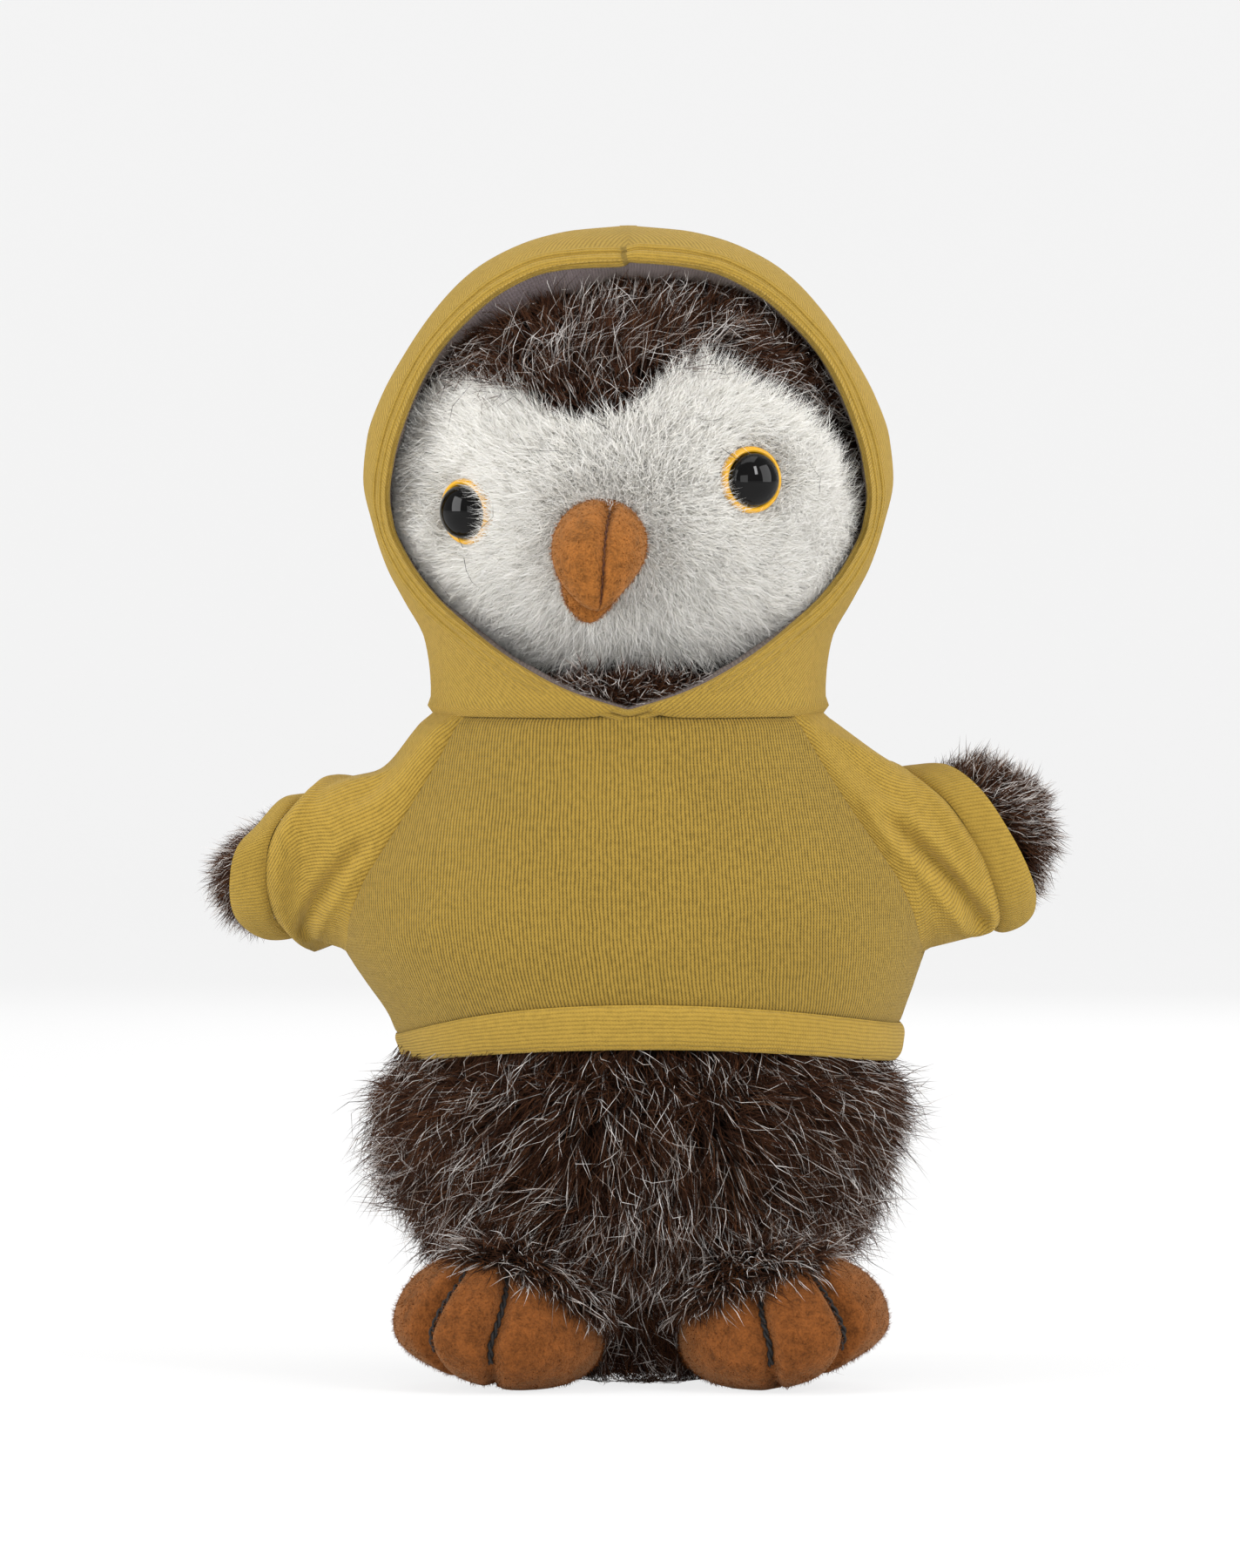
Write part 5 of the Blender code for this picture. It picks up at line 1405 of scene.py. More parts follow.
def make_face_pile(settings):
    """White pile of the face, brushed away from the beak and partly over the eyes."""
    rng = np.random.default_rng(41)
    core = bpy.data.objects["face_core"]
    eyes = [face_point(side * EYE_SPACING / 2, EYE_RISE) for side, _ in SIDES]

    def covered(points):
        local = to_head(points)
        held = in_face(local)
        for eye in eyes:
            held &= np.linalg.norm(local - eye, axis=1) > EYE_CLEAR
        return held & (local[:, 1] < 0)

    def clear(points):
        """Thinned out before the pupils, but for the inner side of each eye."""
        local = to_head(points)
        held = covered(points)
        for eye in eyes:
            off = np.linalg.norm(local - eye, axis=1)
            inner = np.sign(eye[0]) * (eye[0] - local[:, 0]) > 0.62 * off
            few = rng.random(len(points)) < (0.95 if eye[0] < 0 else 0.6)
            held &= (off > 0.0086) | (inner & few & (off > EYE_CLEAR))
        return held

    dense, longest = settings.face_fibres, settings.face_length
    for name, count, length, lift, width, segments, stray, pull, held in (
        ("under", dense, (0.0038, 0.0062), (0.85, 0.70), (0.00012, 0.00019), 1, 0.30, 0.12, covered),
        ("top", dense * 2 // 5, (longest * 0.66, longest), (0.76, 0.42), (0.00009, 0.00014), 2, 0.32, 0.26, clear),
    ):
        roots, _ = roots_on(core, count, held, rng)
        local = to_head(roots)
        normals = unit((local / np.array(HEAD_RADII) ** 2) @ HEAD_ROTATION.T)
        away = stack(local[:, 0], 0.0, local[:, 2] - BEAK_RISE)
        comb = ruffled(unit(away @ HEAD_ROTATION.T), roots, rng, (0.016, 0.40), (0.006, 0.25))
        out = np.hypot(local[:, 0] / HEAD_RADII[0], local[:, 2] / HEAD_RADII[2])
        comb = comb - ease((out - 0.66) / 0.26)[:, None] * np.array((0.0, 1.1, 0.0))
        lines = grow(roots, normals, comb, rng, length, lift, stray, segments, pull=pull, sag=0.03)
        near = np.min([np.linalg.norm(local - eye, axis=1) for eye in eyes], axis=0)
        close = 1 - ease((near - 0.0058) / 0.0046)
        short = 1 - (0.58 if segments == 1 else np.where(local[:, 0] < 0, 0.34, 0.48)) * close
        near_beak = 1 - ease((np.hypot(local[:, 0], local[:, 2] - BEAK_RISE) - 0.0070) / 0.0050)
        short = short * (1 - 0.35 * near_beak) * (1 + 0.30 * ease((out - 0.62) / 0.30))
        lines = moved(stretched(lines, short), in_hood, 0.0002)
        tones = rng.random(count)
        plant("face_" + name, lines, width, tones, rng, "head", "white_pile_fibre", split=True)
    bpy.data.objects.remove(core)


def make_stray_hairs():
    """Single dark hairs that lie across the face."""
    rng = np.random.default_rng(71)
    core, count = bpy.data.objects["face_core"], STRAY_HAIRS
    roots, normals = roots_on(core, count, lambda points: to_head(points)[:, 1] < -0.012, rng)
    comb = rng.normal(size=(count, 3))
    lines = grow(roots + normals * 0.0040, normals, comb, rng, (0.005, 0.011), (0.05, 0.0), 0.5, 3, pull=0.0)
    tones = rng.uniform(0, 0.3, count)
    fibres("stray_hairs", lines, np.full(count, 0.00011), tones, rng, "head", "brown_pile")


# Knitted top

def knit_piece(obj, material, wall, middle, lining=None, cutter=None):
    """Gives a laid sheet its finish and its thickness, inwards, and cuts it open; tells the area it was laid with."""
    face_away(obj, middle)
    area = area_of(obj)
    give_finish(obj, material, *([lining] if lining else []))
    step = obj.modifiers.new("wall", "SOLIDIFY")
    step.thickness = wall
    step.offset = -1.0
    step.material_offset = 1 if lining else 0
    if cutter:
        cut = obj.modifiers.new("opening", "BOOLEAN")
        cut.operation = "DIFFERENCE"
        cut.solver = "EXACT"
        cut.object = cutter
    apply_modifiers(obj)
    smooth(obj, 60.0)
    return area


FOLDS = (
    # start and end on the front as (x, z), width, depth
    ((-0.050, 0.076), (-0.030, 0.090), 0.0030, 0.0006),
    ((0.049, 0.076), (0.030, 0.088), 0.0030, 0.0006),
    ((-0.040, 0.060), (-0.020, 0.068), 0.0035, 0.0004),
    ((0.040, 0.061), (0.022, 0.070), 0.0035, 0.0004),
    ((-0.004, 0.116), (-0.001, 0.104), 0.0016, 0.0005),
    ((0.003, 0.116), (0.006, 0.102), 0.0018, 0.0004),
)


def from_line(x, y, dx, dy):
    """How far along a line from the origin places lie, as a share of it, and how far off it."""
    along = np.clip((x * dx + y * dy) / (dx * dx + dy * dy), 0, 1)
    return along, np.hypot(x - along * dx, y - along * dy)


def fold_depth(x, z, folds):
    """How far folds draw the cloth in at places seen from the front."""
    total = np.zeros_like(x)
    for (x0, z0), (x1, z1), width, depth in folds:
        along, off = from_line(x - x0, z - z0, x1 - x0, z1 - z0)
        total += depth * bump(off, width) * (1 - 0.5 * ease(along))
    return total


def throat_rise(points):
    """The neck seam rides up a little where the two hood halves meet."""
    at = bump(points[:, 0] + 0.0015, 0.0050) * np.exp(-np.abs(points[:, 2] - NECK_HEIGHT) / 0.0030)
    points[:, 2] += 0.0012 * at * (points[:, 1] < 0)
    return points


def panel_place(facing, u, v):
    """A panel of the top, drawn in along its raglan seams, the neckline and the hem band."""
    start, end = HEM_HEIGHT + HEM_BAND - 0.0002, NECK_HEIGHT + 0.0001
    height = start + (end - start) * v
    edge = raglan_angle(height)
    turn = edge + (math.pi - 2 * edge) * u
    to_seam = np.minimum(turn - edge, math.pi - edge - turn) * (TOP_WIDTH / 2 * 0.9)
    raglan = 0.4 + 0.6 * ease((height - ARMPIT_HEIGHT + 0.006) / 0.006)
    inset = 0.0006 * np.exp(-to_seam / 0.0006) * raglan - 0.0002 * bump(to_seam - 0.0022, 0.0012) * raglan
    inset += 0.0011 * np.exp(-(end - height) / 0.0008)
    inset += 0.0007 * np.exp(-(height - start) / 0.0010)
    if facing < 0:
        points = top_point(facing * turn, height)
        inset = inset + fold_depth(points[:, 0], points[:, 2], FOLDS)
    return throat_rise(top_point(facing * turn, height, inset))


def make_panels():
    """Front and back of the top."""
    width = math.pi * math.sqrt(((TOP_WIDTH / 2) ** 2 + (TOP_DEPTH / 2) ** 2) / 2)
    flat = (width, NECK_HEIGHT - HEM_HEIGHT)
    for facing, name in ((-1, "hoodie_front"), (1, "hoodie_back")):
        obj = laid_grid(name + "_knit", (96, 64), functools.partial(panel_place, facing), flat)
        points = read_points(obj.data)
        centre, wide, deep = top_section(points[:, 2])
        turn = np.arctan2((points[:, 0] - centre) / wide, facing * points[:, 1] / deep)
        uv_per_vertex(obj.data, "Knit", turn * (wide + deep) / 2, points[:, 2])
        area = knit_piece(obj, "mustard_knit", CLOTH, (0, 0, 0.085))
        tie(obj, "torso", (name,))


def make_hem():
    """The folded band at the hem, its wales lying level."""

    def place(u, v):
        angle = 2 * math.pi * u
        middle = 2 * np.abs(v - 0.5)
        inset = -HEM_PROUD + 0.0010 * middle ** 4 + 0.0002 * np.sin(angle * 9 + 1) * (1 - v)
        inset = inset + 0.0022 * np.maximum(-np.cos(angle), 0) ** 3 * (1 - v) ** 0.7
        return top_point(angle, HEM_HEIGHT + HEM_BAND * v, inset)

    around = 2 * math.pi * math.sqrt(((TOP_WIDTH / 2 * 0.86) ** 2 + (TOP_DEPTH / 2 * 0.97) ** 2) / 2)
    obj = laid_grid("hem_band_knit", (180, 12), place, (around, HEM_BAND), wrap=True)
    corners = obj.data.uv_layers["Knit"].data
    corners.foreach_set("uv", fetch(corners, "uv", 2)[:, ::-1].ravel())
    # the hem band takes a lighter copy of the jersey: painted light
    area = knit_piece(obj, "mustard_rib_painted_lit", CLOTH + HEM_PROUD, (0, 0, 0.058))
    tie(obj, "torso", ("hem_band",))


SLEEVE_FOLDS = {
    # start and end as (degrees round, share along), how far drawn in, half width in metres
    LEFT: (((-8, 0.22), (-62, 0.62), 0.0016, 0.0013), ((88, 0.30), (40, 0.42), 0.0012, 0.0018),
           ((150, 0.2), (220, 0.6), 0.0012, 0.0016)),
    RIGHT: (((4, 0.30), (-62, 0.72), 0.0024, 0.0013), ((60, 0.2), (20, 0.45), 0.0007, 0.0018),
            ((150, 0.3), (220, 0.6), 0.0012, 0.0016)),
}


def sleeve_folds(side, u, v):
    """How far folds draw a sleeve in, by angle share and length share."""
    ring, length = 0.013 * 2 * math.pi, CUFF_REACH[side] * 0.8
    total = np.zeros_like(u)
    for (turn0, at0), (turn1, at1), depth, width in SLEEVE_FOLDS[side]:
        turn = (u - turn0 / 360 + 0.5) % 1 - 0.5
        along, off = from_line(turn * ring, (v - at0) * length, (turn1 - turn0) / 360 * ring, (at1 - at0) * length)
        total += depth * bump(off, width) * (1 - 0.4 * np.abs(along - 0.5) * 2)
        total -= 0.3 * depth * bump(off - 2.4 * width, width)
    return total


def sleeve_place(wing, u, v):
    """A sleeve from its armhole over the wing to the cuff."""
    side, angle = wing.side, 2 * math.pi * u
    grow = FIT_GAP + CLOTH + 0.0002
    root = armhole(side, angle)
    line = root + (wing.cuff_ring(angle, CUFF_BAND, grow) - root) * v[:, None]
    share = ease(np.minimum(v * 6, (1 - v) * 8))[:, None]
    points = line + (wing.outside(line, grow + SLEEVE_EASE) - line) * share
    sag = SHOULDER_SAG[side] * np.maximum(np.sin(angle), 0) ** 1.5 * bump(v - 0.48, 0.24)
    points = points - sag[:, None] * np.array((0.0, 0.0, 1.0))
    centre = wing.pivot + ((points - wing.pivot) @ wing.out)[:, None] * wing.out
    inward = unit(centre - points)
    tuck = armhole(side, angle, SLEEVE_TUCK, SLEEVE_TUCK) - root
    points = points + tuck * (1 - ease(v / 0.07))[:, None]
    seam = 0.0006 * np.exp(-(1 - v) / 0.04)
    folds = sleeve_folds(side, u, v) * ease(np.minimum(v * 8, (1 - v) * 10))
    return points + inward * (seam + folds)[:, None]


def cuff_place(wing, u, v):
    """A folded cuff, thinner along both edges."""
    angle = 2 * math.pi * u
    edge = np.where(v < 0.5, 0.0007, 0.0004) * (2 * np.abs(v - 0.5)) ** 4
    extra = CUFF_CLOTH - edge + 0.00015 * np.sin(angle * 7)
    return wing.cuff_ring(angle, CUFF_BAND * (1 - v), FIT_GAP + extra)


def make_sleeves():
    """Raglan sleeves from the armholes over the wings, and their folded cuffs."""
    ring = 2 * math.pi * math.sqrt((WING_HEIGHT ** 2 + (NECK_HEIGHT - ARMPIT_HEIGHT) ** 2) / 8)
    for side, name in SIDES:
        wing, length = WingFrame(side), CUFF_REACH[side]
        body, rests_on = "wing_" + name, ["wing_backing_" + name]
        place = functools.partial(sleeve_place, wing)
        sleeve = laid_grid("sleeve_knit_" + name, (96, 28), place, (ring, length), wrap=True)
        uv_round_axis(sleeve, "Knit", wing, 0.03)
        # the sleeve takes a lighter copy of the jersey: painted light
        area = knit_piece(sleeve, "mustard_knit_painted_lit", CLOTH, wing.pivot + wing.out * 0.006)
        slope = np.array((side * SLEEVE_BEND_SLOPE[0], 0.0, SLEEVE_BEND_SLOPE[1]))
        bend = [tuple(slope * distance) for distance in SLEEVE_BEND[side]]
        tie(sleeve, ("torso", body, *bend), ("sleeve_" + name,))

        place = functools.partial(cuff_place, wing)
        cuff = laid_grid("cuff_knit_" + name, (96, 14), place, (ring * 0.8, CUFF_BAND), wrap=True)
        # the cuff takes a lighter copy of the jersey: painted light
        area = knit_piece(cuff, "mustard_rib_painted_lit", CUFF_CLOTH, wing.pivot + wing.out * (length - CUFF_BAND / 2))
        tie(cuff, body, ("cuff_" + name,))


def slanting_knit(obj, side):
    """A real-size knit map for a hood half, its wales sloping down to the throat."""
    points = read_points(obj.data)
    levels = np.linspace(NECK_HEIGHT, HOOD_TOP, 200)
    _, half_width, half_depth = hood_section(levels)
    run = np.hypot(np.diff(levels), np.diff((half_width + half_depth) / 2))
    upward = np.interp(points[:, 2], levels, np.concatenate(((0.0,), np.cumsum(run))))
    _, wide, deep = hood_section(points[:, 2])
    turn = np.arctan2(points[:, 1] / np.maximum(deep, 1e-4), side * (points[:, 0] - NECK_LEAN) / np.maximum(wide, 1e-4))
    across = turn * (HOOD_WIDTH + HOOD_DEPTH) / 4 * np.minimum(1.0, (wide + deep) / 2 / HOOD_KNIT_RADIUS)
    slope = math.radians(HOOD_WALE_SLOPE)
    first = upward * math.cos(slope) - across * math.sin(slope)
    second = across * math.cos(slope) + upward * math.sin(slope)
    uv_per_vertex(obj.data, "Knit", first, second)


def hood_place(side, u, v):
    """A hood half, drawn in along the crown's seam and at the neck."""
    height = NECK_HEIGHT + (HOOD_TOP - NECK_HEIGHT) * (1 - (1 - v) ** 1.7)
    turn = -math.pi / 2 + math.pi * u
    seam = np.minimum(u, 1 - u) * math.pi * 0.035
    inset = 0.0006 * np.exp(-seam / 0.0006) * np.clip((HOOD_TOP - height) / 0.004, 0, 1)
    above = height - NECK_HEIGHT
    inset = inset + 0.0006 * np.exp(-above / 0.0004) - 0.0007 * bump(above - 0.0014, 0.0012)
    angle = turn if side > 0 else math.pi - turn
    points = throat_rise(hood_point(angle, height, np.minimum(inset, 0.0008)))
    at_seam = side * (points[:, 0] - NECK_LEAN) < 0.00005
    points[:, 0] = np.where(at_seam, NECK_LEAN - side * 0.0001, points[:, 0])
    return points


def make_hood():
    """Two halves sewn over the crown, cut open at the face, with a grey lining."""
    outline = hood_opening(128)[:, [0, 2]]
    count = len(outline)
    vertices = [(x, y, z) for y in (-HOOD_DEPTH, -0.004) for x, z in outline]
    faces = [tuple(range(count))[::-1], tuple(range(count, 2 * count))]
    faces += [(i, (i + 1) % count, count + (i + 1) % count, count + i) for i in range(count)]
    cutter = mesh_object("opening_cutter", vertices, faces)
    close_up(cutter)
    for side, name in SIDES:
        place = functools.partial(hood_place, side)
        obj = laid_grid("hood_knit_" + name, (96, 90), place, (0.125, 0.110), wrap=True)
        slanting_knit(obj, side)
        # the hood takes a lighter copy of the jersey: painted light
        knit_piece(obj, "mustard_knit_painted_lit", HOOD_CLOTH, (NECK_LEAN, 0, 0.155), "grey_lining", cutter)
        tie(obj, NECK_BEND, ("hood_" + name,))
    bpy.data.objects.remove(cutter)


EDGE_PROFILE = (
    # the turned edge's outline in millimetres, as (inwards from the opening's edge, off the hood)
    (0.8, -1.3), (0.0, -1.05), (-0.5, -0.4), (-0.5, 0.45), (-0.05, 1.1), (0.7, 1.35), (1.35, 1.1), (1.68, 0.55),
    (1.80, 0.10), (1.92, 0.50), (2.2, 1.0), (2.8, 1.3), (3.5, 1.2), (4.0, 0.7), (4.1, 0.1), (3.5, -0.6), (2.0, -1.1),
)


def make_hood_edge():
    """The turned edge round the face: a doubled fold with a stitched groove."""
    path = hood_opening(240)
    count = len(path)
    height = path[:, 2]
    centre, half_width, half_depth = hood_section(height)
    angle = np.arctan2(path[:, 1] / half_depth, (path[:, 0] - centre) / half_width)
    step = 0.0004
    across = hood_point(angle + step, height) - hood_point(angle - step, height)
    upward = hood_point(angle, height + step) - hood_point(angle, height - step)
    normal = unit(np.cross(across, upward))
    side = np.cross(unit(np.roll(path, -1, 0) - np.roll(path, 1, 0)), normal)
    flip = np.sign(np.sum(side * (path - path.mean(0)), 1).mean())
    nip = HOOD_EDGE_NIP_SHARE + (1 - HOOD_EDGE_NIP_SHARE) * ease((height - height.min()) / (OPENING_WIDTH / 4))
    index = np.arange(count)
    from_top = np.minimum(index, count - index) * np.linalg.norm(path[1] - path[0])
    notch = 1 - 0.22 * bump(from_top, 0.0008)
    profile = np.array(EDGE_PROFILE) * MM
    scaled = profile[None] * (nip * notch)[:, None, None] * np.array((flip, 1.0))
    right = np.where(index < count / 2, 1.0, -1.0) * bump(from_top, 0.012)
    path = path + normal * (right * EDGE_STEP)[:, None]
    rings = tube_along(path, scaled, up=normal)
    faces = ring_faces(*rings.shape[:2], closed_path=True)
    obj = mesh_object("hood_edge_knit", rings.reshape(-1, 3), faces)
    travel = travelled(path)
    uv_per_vertex(obj.data, "Knit", *[values.ravel() for values in np.meshgrid(travelled(profile), travel)])
    close_up(obj)
    rounder = obj.modifiers.new("round", "SUBSURF")
    rounder.levels = rounder.render_levels = 1
    apply_modifiers(obj)
    smooth(obj, 60.0)
    # the turned edge takes a lighter copy of the jersey: painted light
    dress(obj, "mustard_rib_painted_lit", NECK_BEND, ("hood_edge",))


def make_lining():
    """The grey lining that shows inside the edge, slack at the upper left."""
    path = hood_opening(240)
    count = len(path)
    middle = path.mean(0)
    around = np.arctan2(path[:, 2] - middle[2], path[:, 0] - middle[0])
    slack = bump(around - math.radians(118), math.radians(24))
    slack = slack + 0.35 * bump(around - math.radians(75), math.radians(16))

    def place(u, v):
        index = np.arange(count + 1)
        edge = columns_at(u * count, index, path[index % count])
        loose = np.interp(u * count, index, slack[index % count])
        inward = unit((middle - edge) * np.array((1.0, 0.0, 1.0)))
        wave = 0.0003 * np.sin(u * 2 * math.pi * 17) + 0.0002 * np.sin(u * 2 * math.pi * 41 + 1)
        drop = (0.0006 + 0.0046 * loose + wave * (0.3 + loose)) * np.sin(v * math.pi * 0.75)
        return edge + inward * drop[:, None] + stack(0.0, 0.0004 + 0.0078 * v, 0.0)

    flat = (0.26, SHEET_SIDE)
    obj = laid_grid("hood_lining_turn", (240, 12), place, flat, wrap=True)
    area = knit_piece(obj, "grey_lining", 0.0005, middle + np.array((0.0, -0.05, 0.0)))
    tie(obj, NECK_BEND)


# Eyes and beak

def eye_place(side):
    """The seat of an eye: its Z looks out of the face."""
    surface = face_point(side * EYE_SPACING / 2, EYE_RISE)
    outward = Vector(surface / np.array(HEAD_RADII) ** 2).normalized()
    seat = Vector(surface) - outward * EYE_INSET
    turn = outward.to_track_quat("Z", "Y").to_matrix().to_4x4()
    return HEAD_POSE @ Matrix.Translation(seat) @ turn


# Radius and height over the eye's seat, in millimetres
RING_PROFILE = (
    (0.0, 0.7), (4.65, 0.7), (4.70, 1.30), (4.82, 1.62), (5.06, 1.76), (5.36, 1.66), (5.64, 1.36), (5.78, 0.95),
    (5.80, 0.4), (5.7, 0.0), (1.6, 0.0), (1.6, -1.5), (1.5, -6.5), (0.0, -6.6),
)
DOME_PROFILE = (
    (0.0, 1.0), (4.5, 1.0), (4.6, 1.2),
    *[(4.6 * math.cos(a), 1.9 + 2.9 * math.sin(a)) for a in np.linspace(0, math.pi / 2, 16)[:-1]], (0.0, 4.8),
)


def make_eyes():
    """Glossy domed pupils in yellow rings."""
    for side, name in SIDES:
        for piece, profile, material, slot, node in (
            ("eye_rim_", RING_PROFILE, "yellow_plastic_gloss", "yellow_plastic", "eye_ring_"),
            ("eye_dome_", DOME_PROFILE, "black_plastic_gloss", "black_plastic", "eye_pupil_"),
        ):
            dress(spun(piece + name, profile, eye_place(side)), material, "head", (node + name,))
        give_finish(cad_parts["eye_washer_" + name], "white_plastic_plain")


def beak_form(base, length, width, height, start_angle, end_angle, seam):
    """Rings of a drooping cone of velour with a drawn-in seam down its middle, and its two ends."""
    rows, sides = BEAK_ROWS, BEAK_SIDES
    angle = 2 * math.pi * np.arange(sides) / sides
    seam_at = math.radians(90 - BEAK_SEAM_TURN)
    off_top = np.degrees(np.arctan2(np.sin(angle - seam_at), np.cos(angle - seam_at)))
    centre = np.array(base, float)
    rings = []
    for share in np.arange(rows) / rows:
        pitch = math.radians(start_angle + (end_angle - start_angle) * share ** BEAK_DROOP_POWER)
        along = np.array((0.0, -math.cos(pitch), -math.sin(pitch)))
        up = np.array((0.0, -math.sin(pitch), math.cos(pitch)))
        taper = (1 - share ** BEAK_TAPER_POWER) ** BEAK_TAPER_ROOT
        crease = seam * taper ** 0.5 * bump(off_top, BEAK_CREASE_ANGLE) * ease(share / 0.12)
        plump = 1 + 0.05 * math.sin(share * math.pi)
        across = width / 2 * taper * plump * np.cos(angle)
        high = height / 2 * taper * plump * np.sin(angle) - crease
        rings.append(centre + across[:, None] * np.array((1.0, 0.0, 0.0)) + high[:, None] * up)
        centre = centre + along * (length / rows)
    faces = ring_faces(rows, sides)
    tip, last = rows * sides, (rows - 1) * sides
    for k in range(sides):
        faces += [(last + k, last + (k + 1) % sides, tip), ((k + 1) % sides, k, tip + 1)]
    return np.array(rings), np.stack((centre, rings[0].mean(0))), faces


def beak_seam(rings):
    """The middle line of the crease of a beak, by shares of its length."""
    column = (90 - BEAK_SEAM_TURN) / 360 * BEAK_SIDES
    low = int(column)
    line = rings[:, low] + (rings[:, low + 1] - rings[:, low]) * (column - low)
    return columns_at(np.linspace(0.16, 0.985, 60) * (BEAK_ROWS - 1), np.arange(BEAK_ROWS), line)


def make_beak(settings):
    """Upper and lower beak with a fuzz of short nap."""
    rng = np.random.default_rng(53)
    for name, across, drop, sizes in (
        ("beak_upper", -0.0012, 0.0, (0.0195, 0.0160, 0.0150, 10.0, 82.0, 0.0018)),
        ("beak_lower", -0.0038, 0.0056, (0.0118, 0.0098, 0.0070, 30.0, 62.0, 0.0)),
    ):
        base = face_point(across, BEAK_RISE - drop) + np.array((0.0, BEAK_INSET, 0.0))
        rings, ends, faces = beak_form(base, *sizes)
        obj = mesh_object(name + "_velour", from_head(np.concatenate((*rings, ends))), faces)
        close_up(obj)
        smooth(obj)
        dress(obj, "beak_velour_nap", "head", (name,))
        nap_on(obj, name + "_nap", settings.nap_fibres // 3, "head", rng, "beak_nap_fibre")
        if name == "beak_upper":
            # the seam's thread, darkened as painted shade in the crease
            plied_thread("beak_seam", from_head(beak_seam(rings)), "head", "beak_seam_thread", 0.00018)


def nap_on(obj, name, count, body, rng, material):
    """Short velour nap that softens a form's outline."""
    roots, normals = roots_on(obj, count, lambda points: points[:, 2] > 0.0005, rng)
    comb = waves(roots, 0.006, rng) + np.array((0.0, 0.0, -0.6))
    lines = grow(roots, normals, comb, rng, (0.0005, 0.0011), (0.75, 0.5), 0.35, 1, pull=0.0, sink=0.0001)
    tones = rng.random(count)
    plant(name, over_floor(lines, 0.0001), (0.00010, 0.00016), tones, rng, body, material)


# Feet

def foot_point(side, around, lift, room=0.0):
    """Points of a foot in its own frame, toes along -Y; lift is the angle up its side."""
    forward = np.where(np.abs(around) < math.pi / 2, FOOT_FRONT, FOOT_REAR)
    plan = 1 / np.sqrt((np.sin(around) / (FOOT_WIDTH / 2)) ** 2 + (np.cos(around) / forward) ** 2)
    degrees = np.degrees(around)
    slant = side * TOE_SLANT * np.maximum(np.sin(lift), 0.0)
    crease = sum(bump(degrees - turn + slant, TOE_CREASE_ANGLE) for turn in TOE_ANGLES[side])
    crease = crease * ease((1.30 - lift) / 0.5)
    up = lift >= 0
    height = np.where(
        up, FOOT_MIDDLE_HEIGHT + (FOOT_HEIGHT - FOOT_MIDDLE_HEIGHT) * np.sin(lift),
        FOOT_MIDDLE_HEIGHT + (FOOT_MIDDLE_HEIGHT + FLOOR_FLAT) * np.sin(lift),
    )
    height = FOOT_MIDDLE_HEIGHT + (height - FOOT_MIDDLE_HEIGHT) * (1 - 0.14 * crease)
    reach = np.maximum(np.cos(lift), 0.0) ** np.where(up, 0.8, 0.6)
    radius = (plan - TOE_CREASE * crease) * reach + room
    x = radius * np.sin(around)
    rise = OUTER_TOE_RISE[side] * ease((side * x / (FOOT_WIDTH / 2) + 0.35) / 1.35)
    height = height + rise * (1 - np.clip(height / FOOT_HEIGHT, 0, 1))
    return stack(x, -radius * np.cos(around), np.maximum(height, 0.0))


def foot_place(side):
    turn = Matrix.Rotation(side * math.radians(FOOT_SPLAY), 4, "Z")
    return Matrix.Translation((side * FOOT_SPREAD / 2, -FOOT_FORWARD, 0.0)) @ turn


def foot_form(side, around, rise):
    """A whole foot in its own frame, from the middle of its sole to its top."""
    sole = -math.asin(FOOT_MIDDLE_HEIGHT / (FOOT_MIDDLE_HEIGHT + FLOOR_FLAT))
    flat = FOOT_SOLE_SHARE
    turn = (around + math.pi / 2 + math.pi) % (2 * math.pi) - math.pi
    lift = np.where(rise < flat, sole, sole + (math.pi / 2 - sole) * (rise - flat) / (1 - flat))
    points = foot_point(side, turn, lift)
    points[:, :2] *= np.minimum(rise / flat, 1.0)[:, None]
    return points


def make_feet(settings):
    """Velour feet with three toes each, drawn in by plied thread."""
    rng = np.random.default_rng(61)
    for side, name in SIDES:
        place = foot_place(side)
        foot = egg("foot_velour_" + name, 180, 48, functools.partial(foot_form, side))
        foot.data.transform(place)
        dress(foot, "rust_velour_nap", "torso", ("foot_" + name,))
        nap_on(foot, "foot_nap_" + name, settings.nap_fibres, "torso", rng, "rust_nap_fibre")
        for turn, which in zip(TOE_ANGLES[side], ("inner", "outer")):
            lift = np.radians(np.linspace(TOE_THREAD_TOP, TOE_THREAD_FOOT, 60))
            around = np.radians(turn - side * TOE_SLANT * np.maximum(np.sin(lift), 0.0))
            path = [place @ Vector(p) for p in foot_point(side, around, lift, 0.00040)]
            plied_thread(f"toe_thread_{name}_{which}", np.array(path))


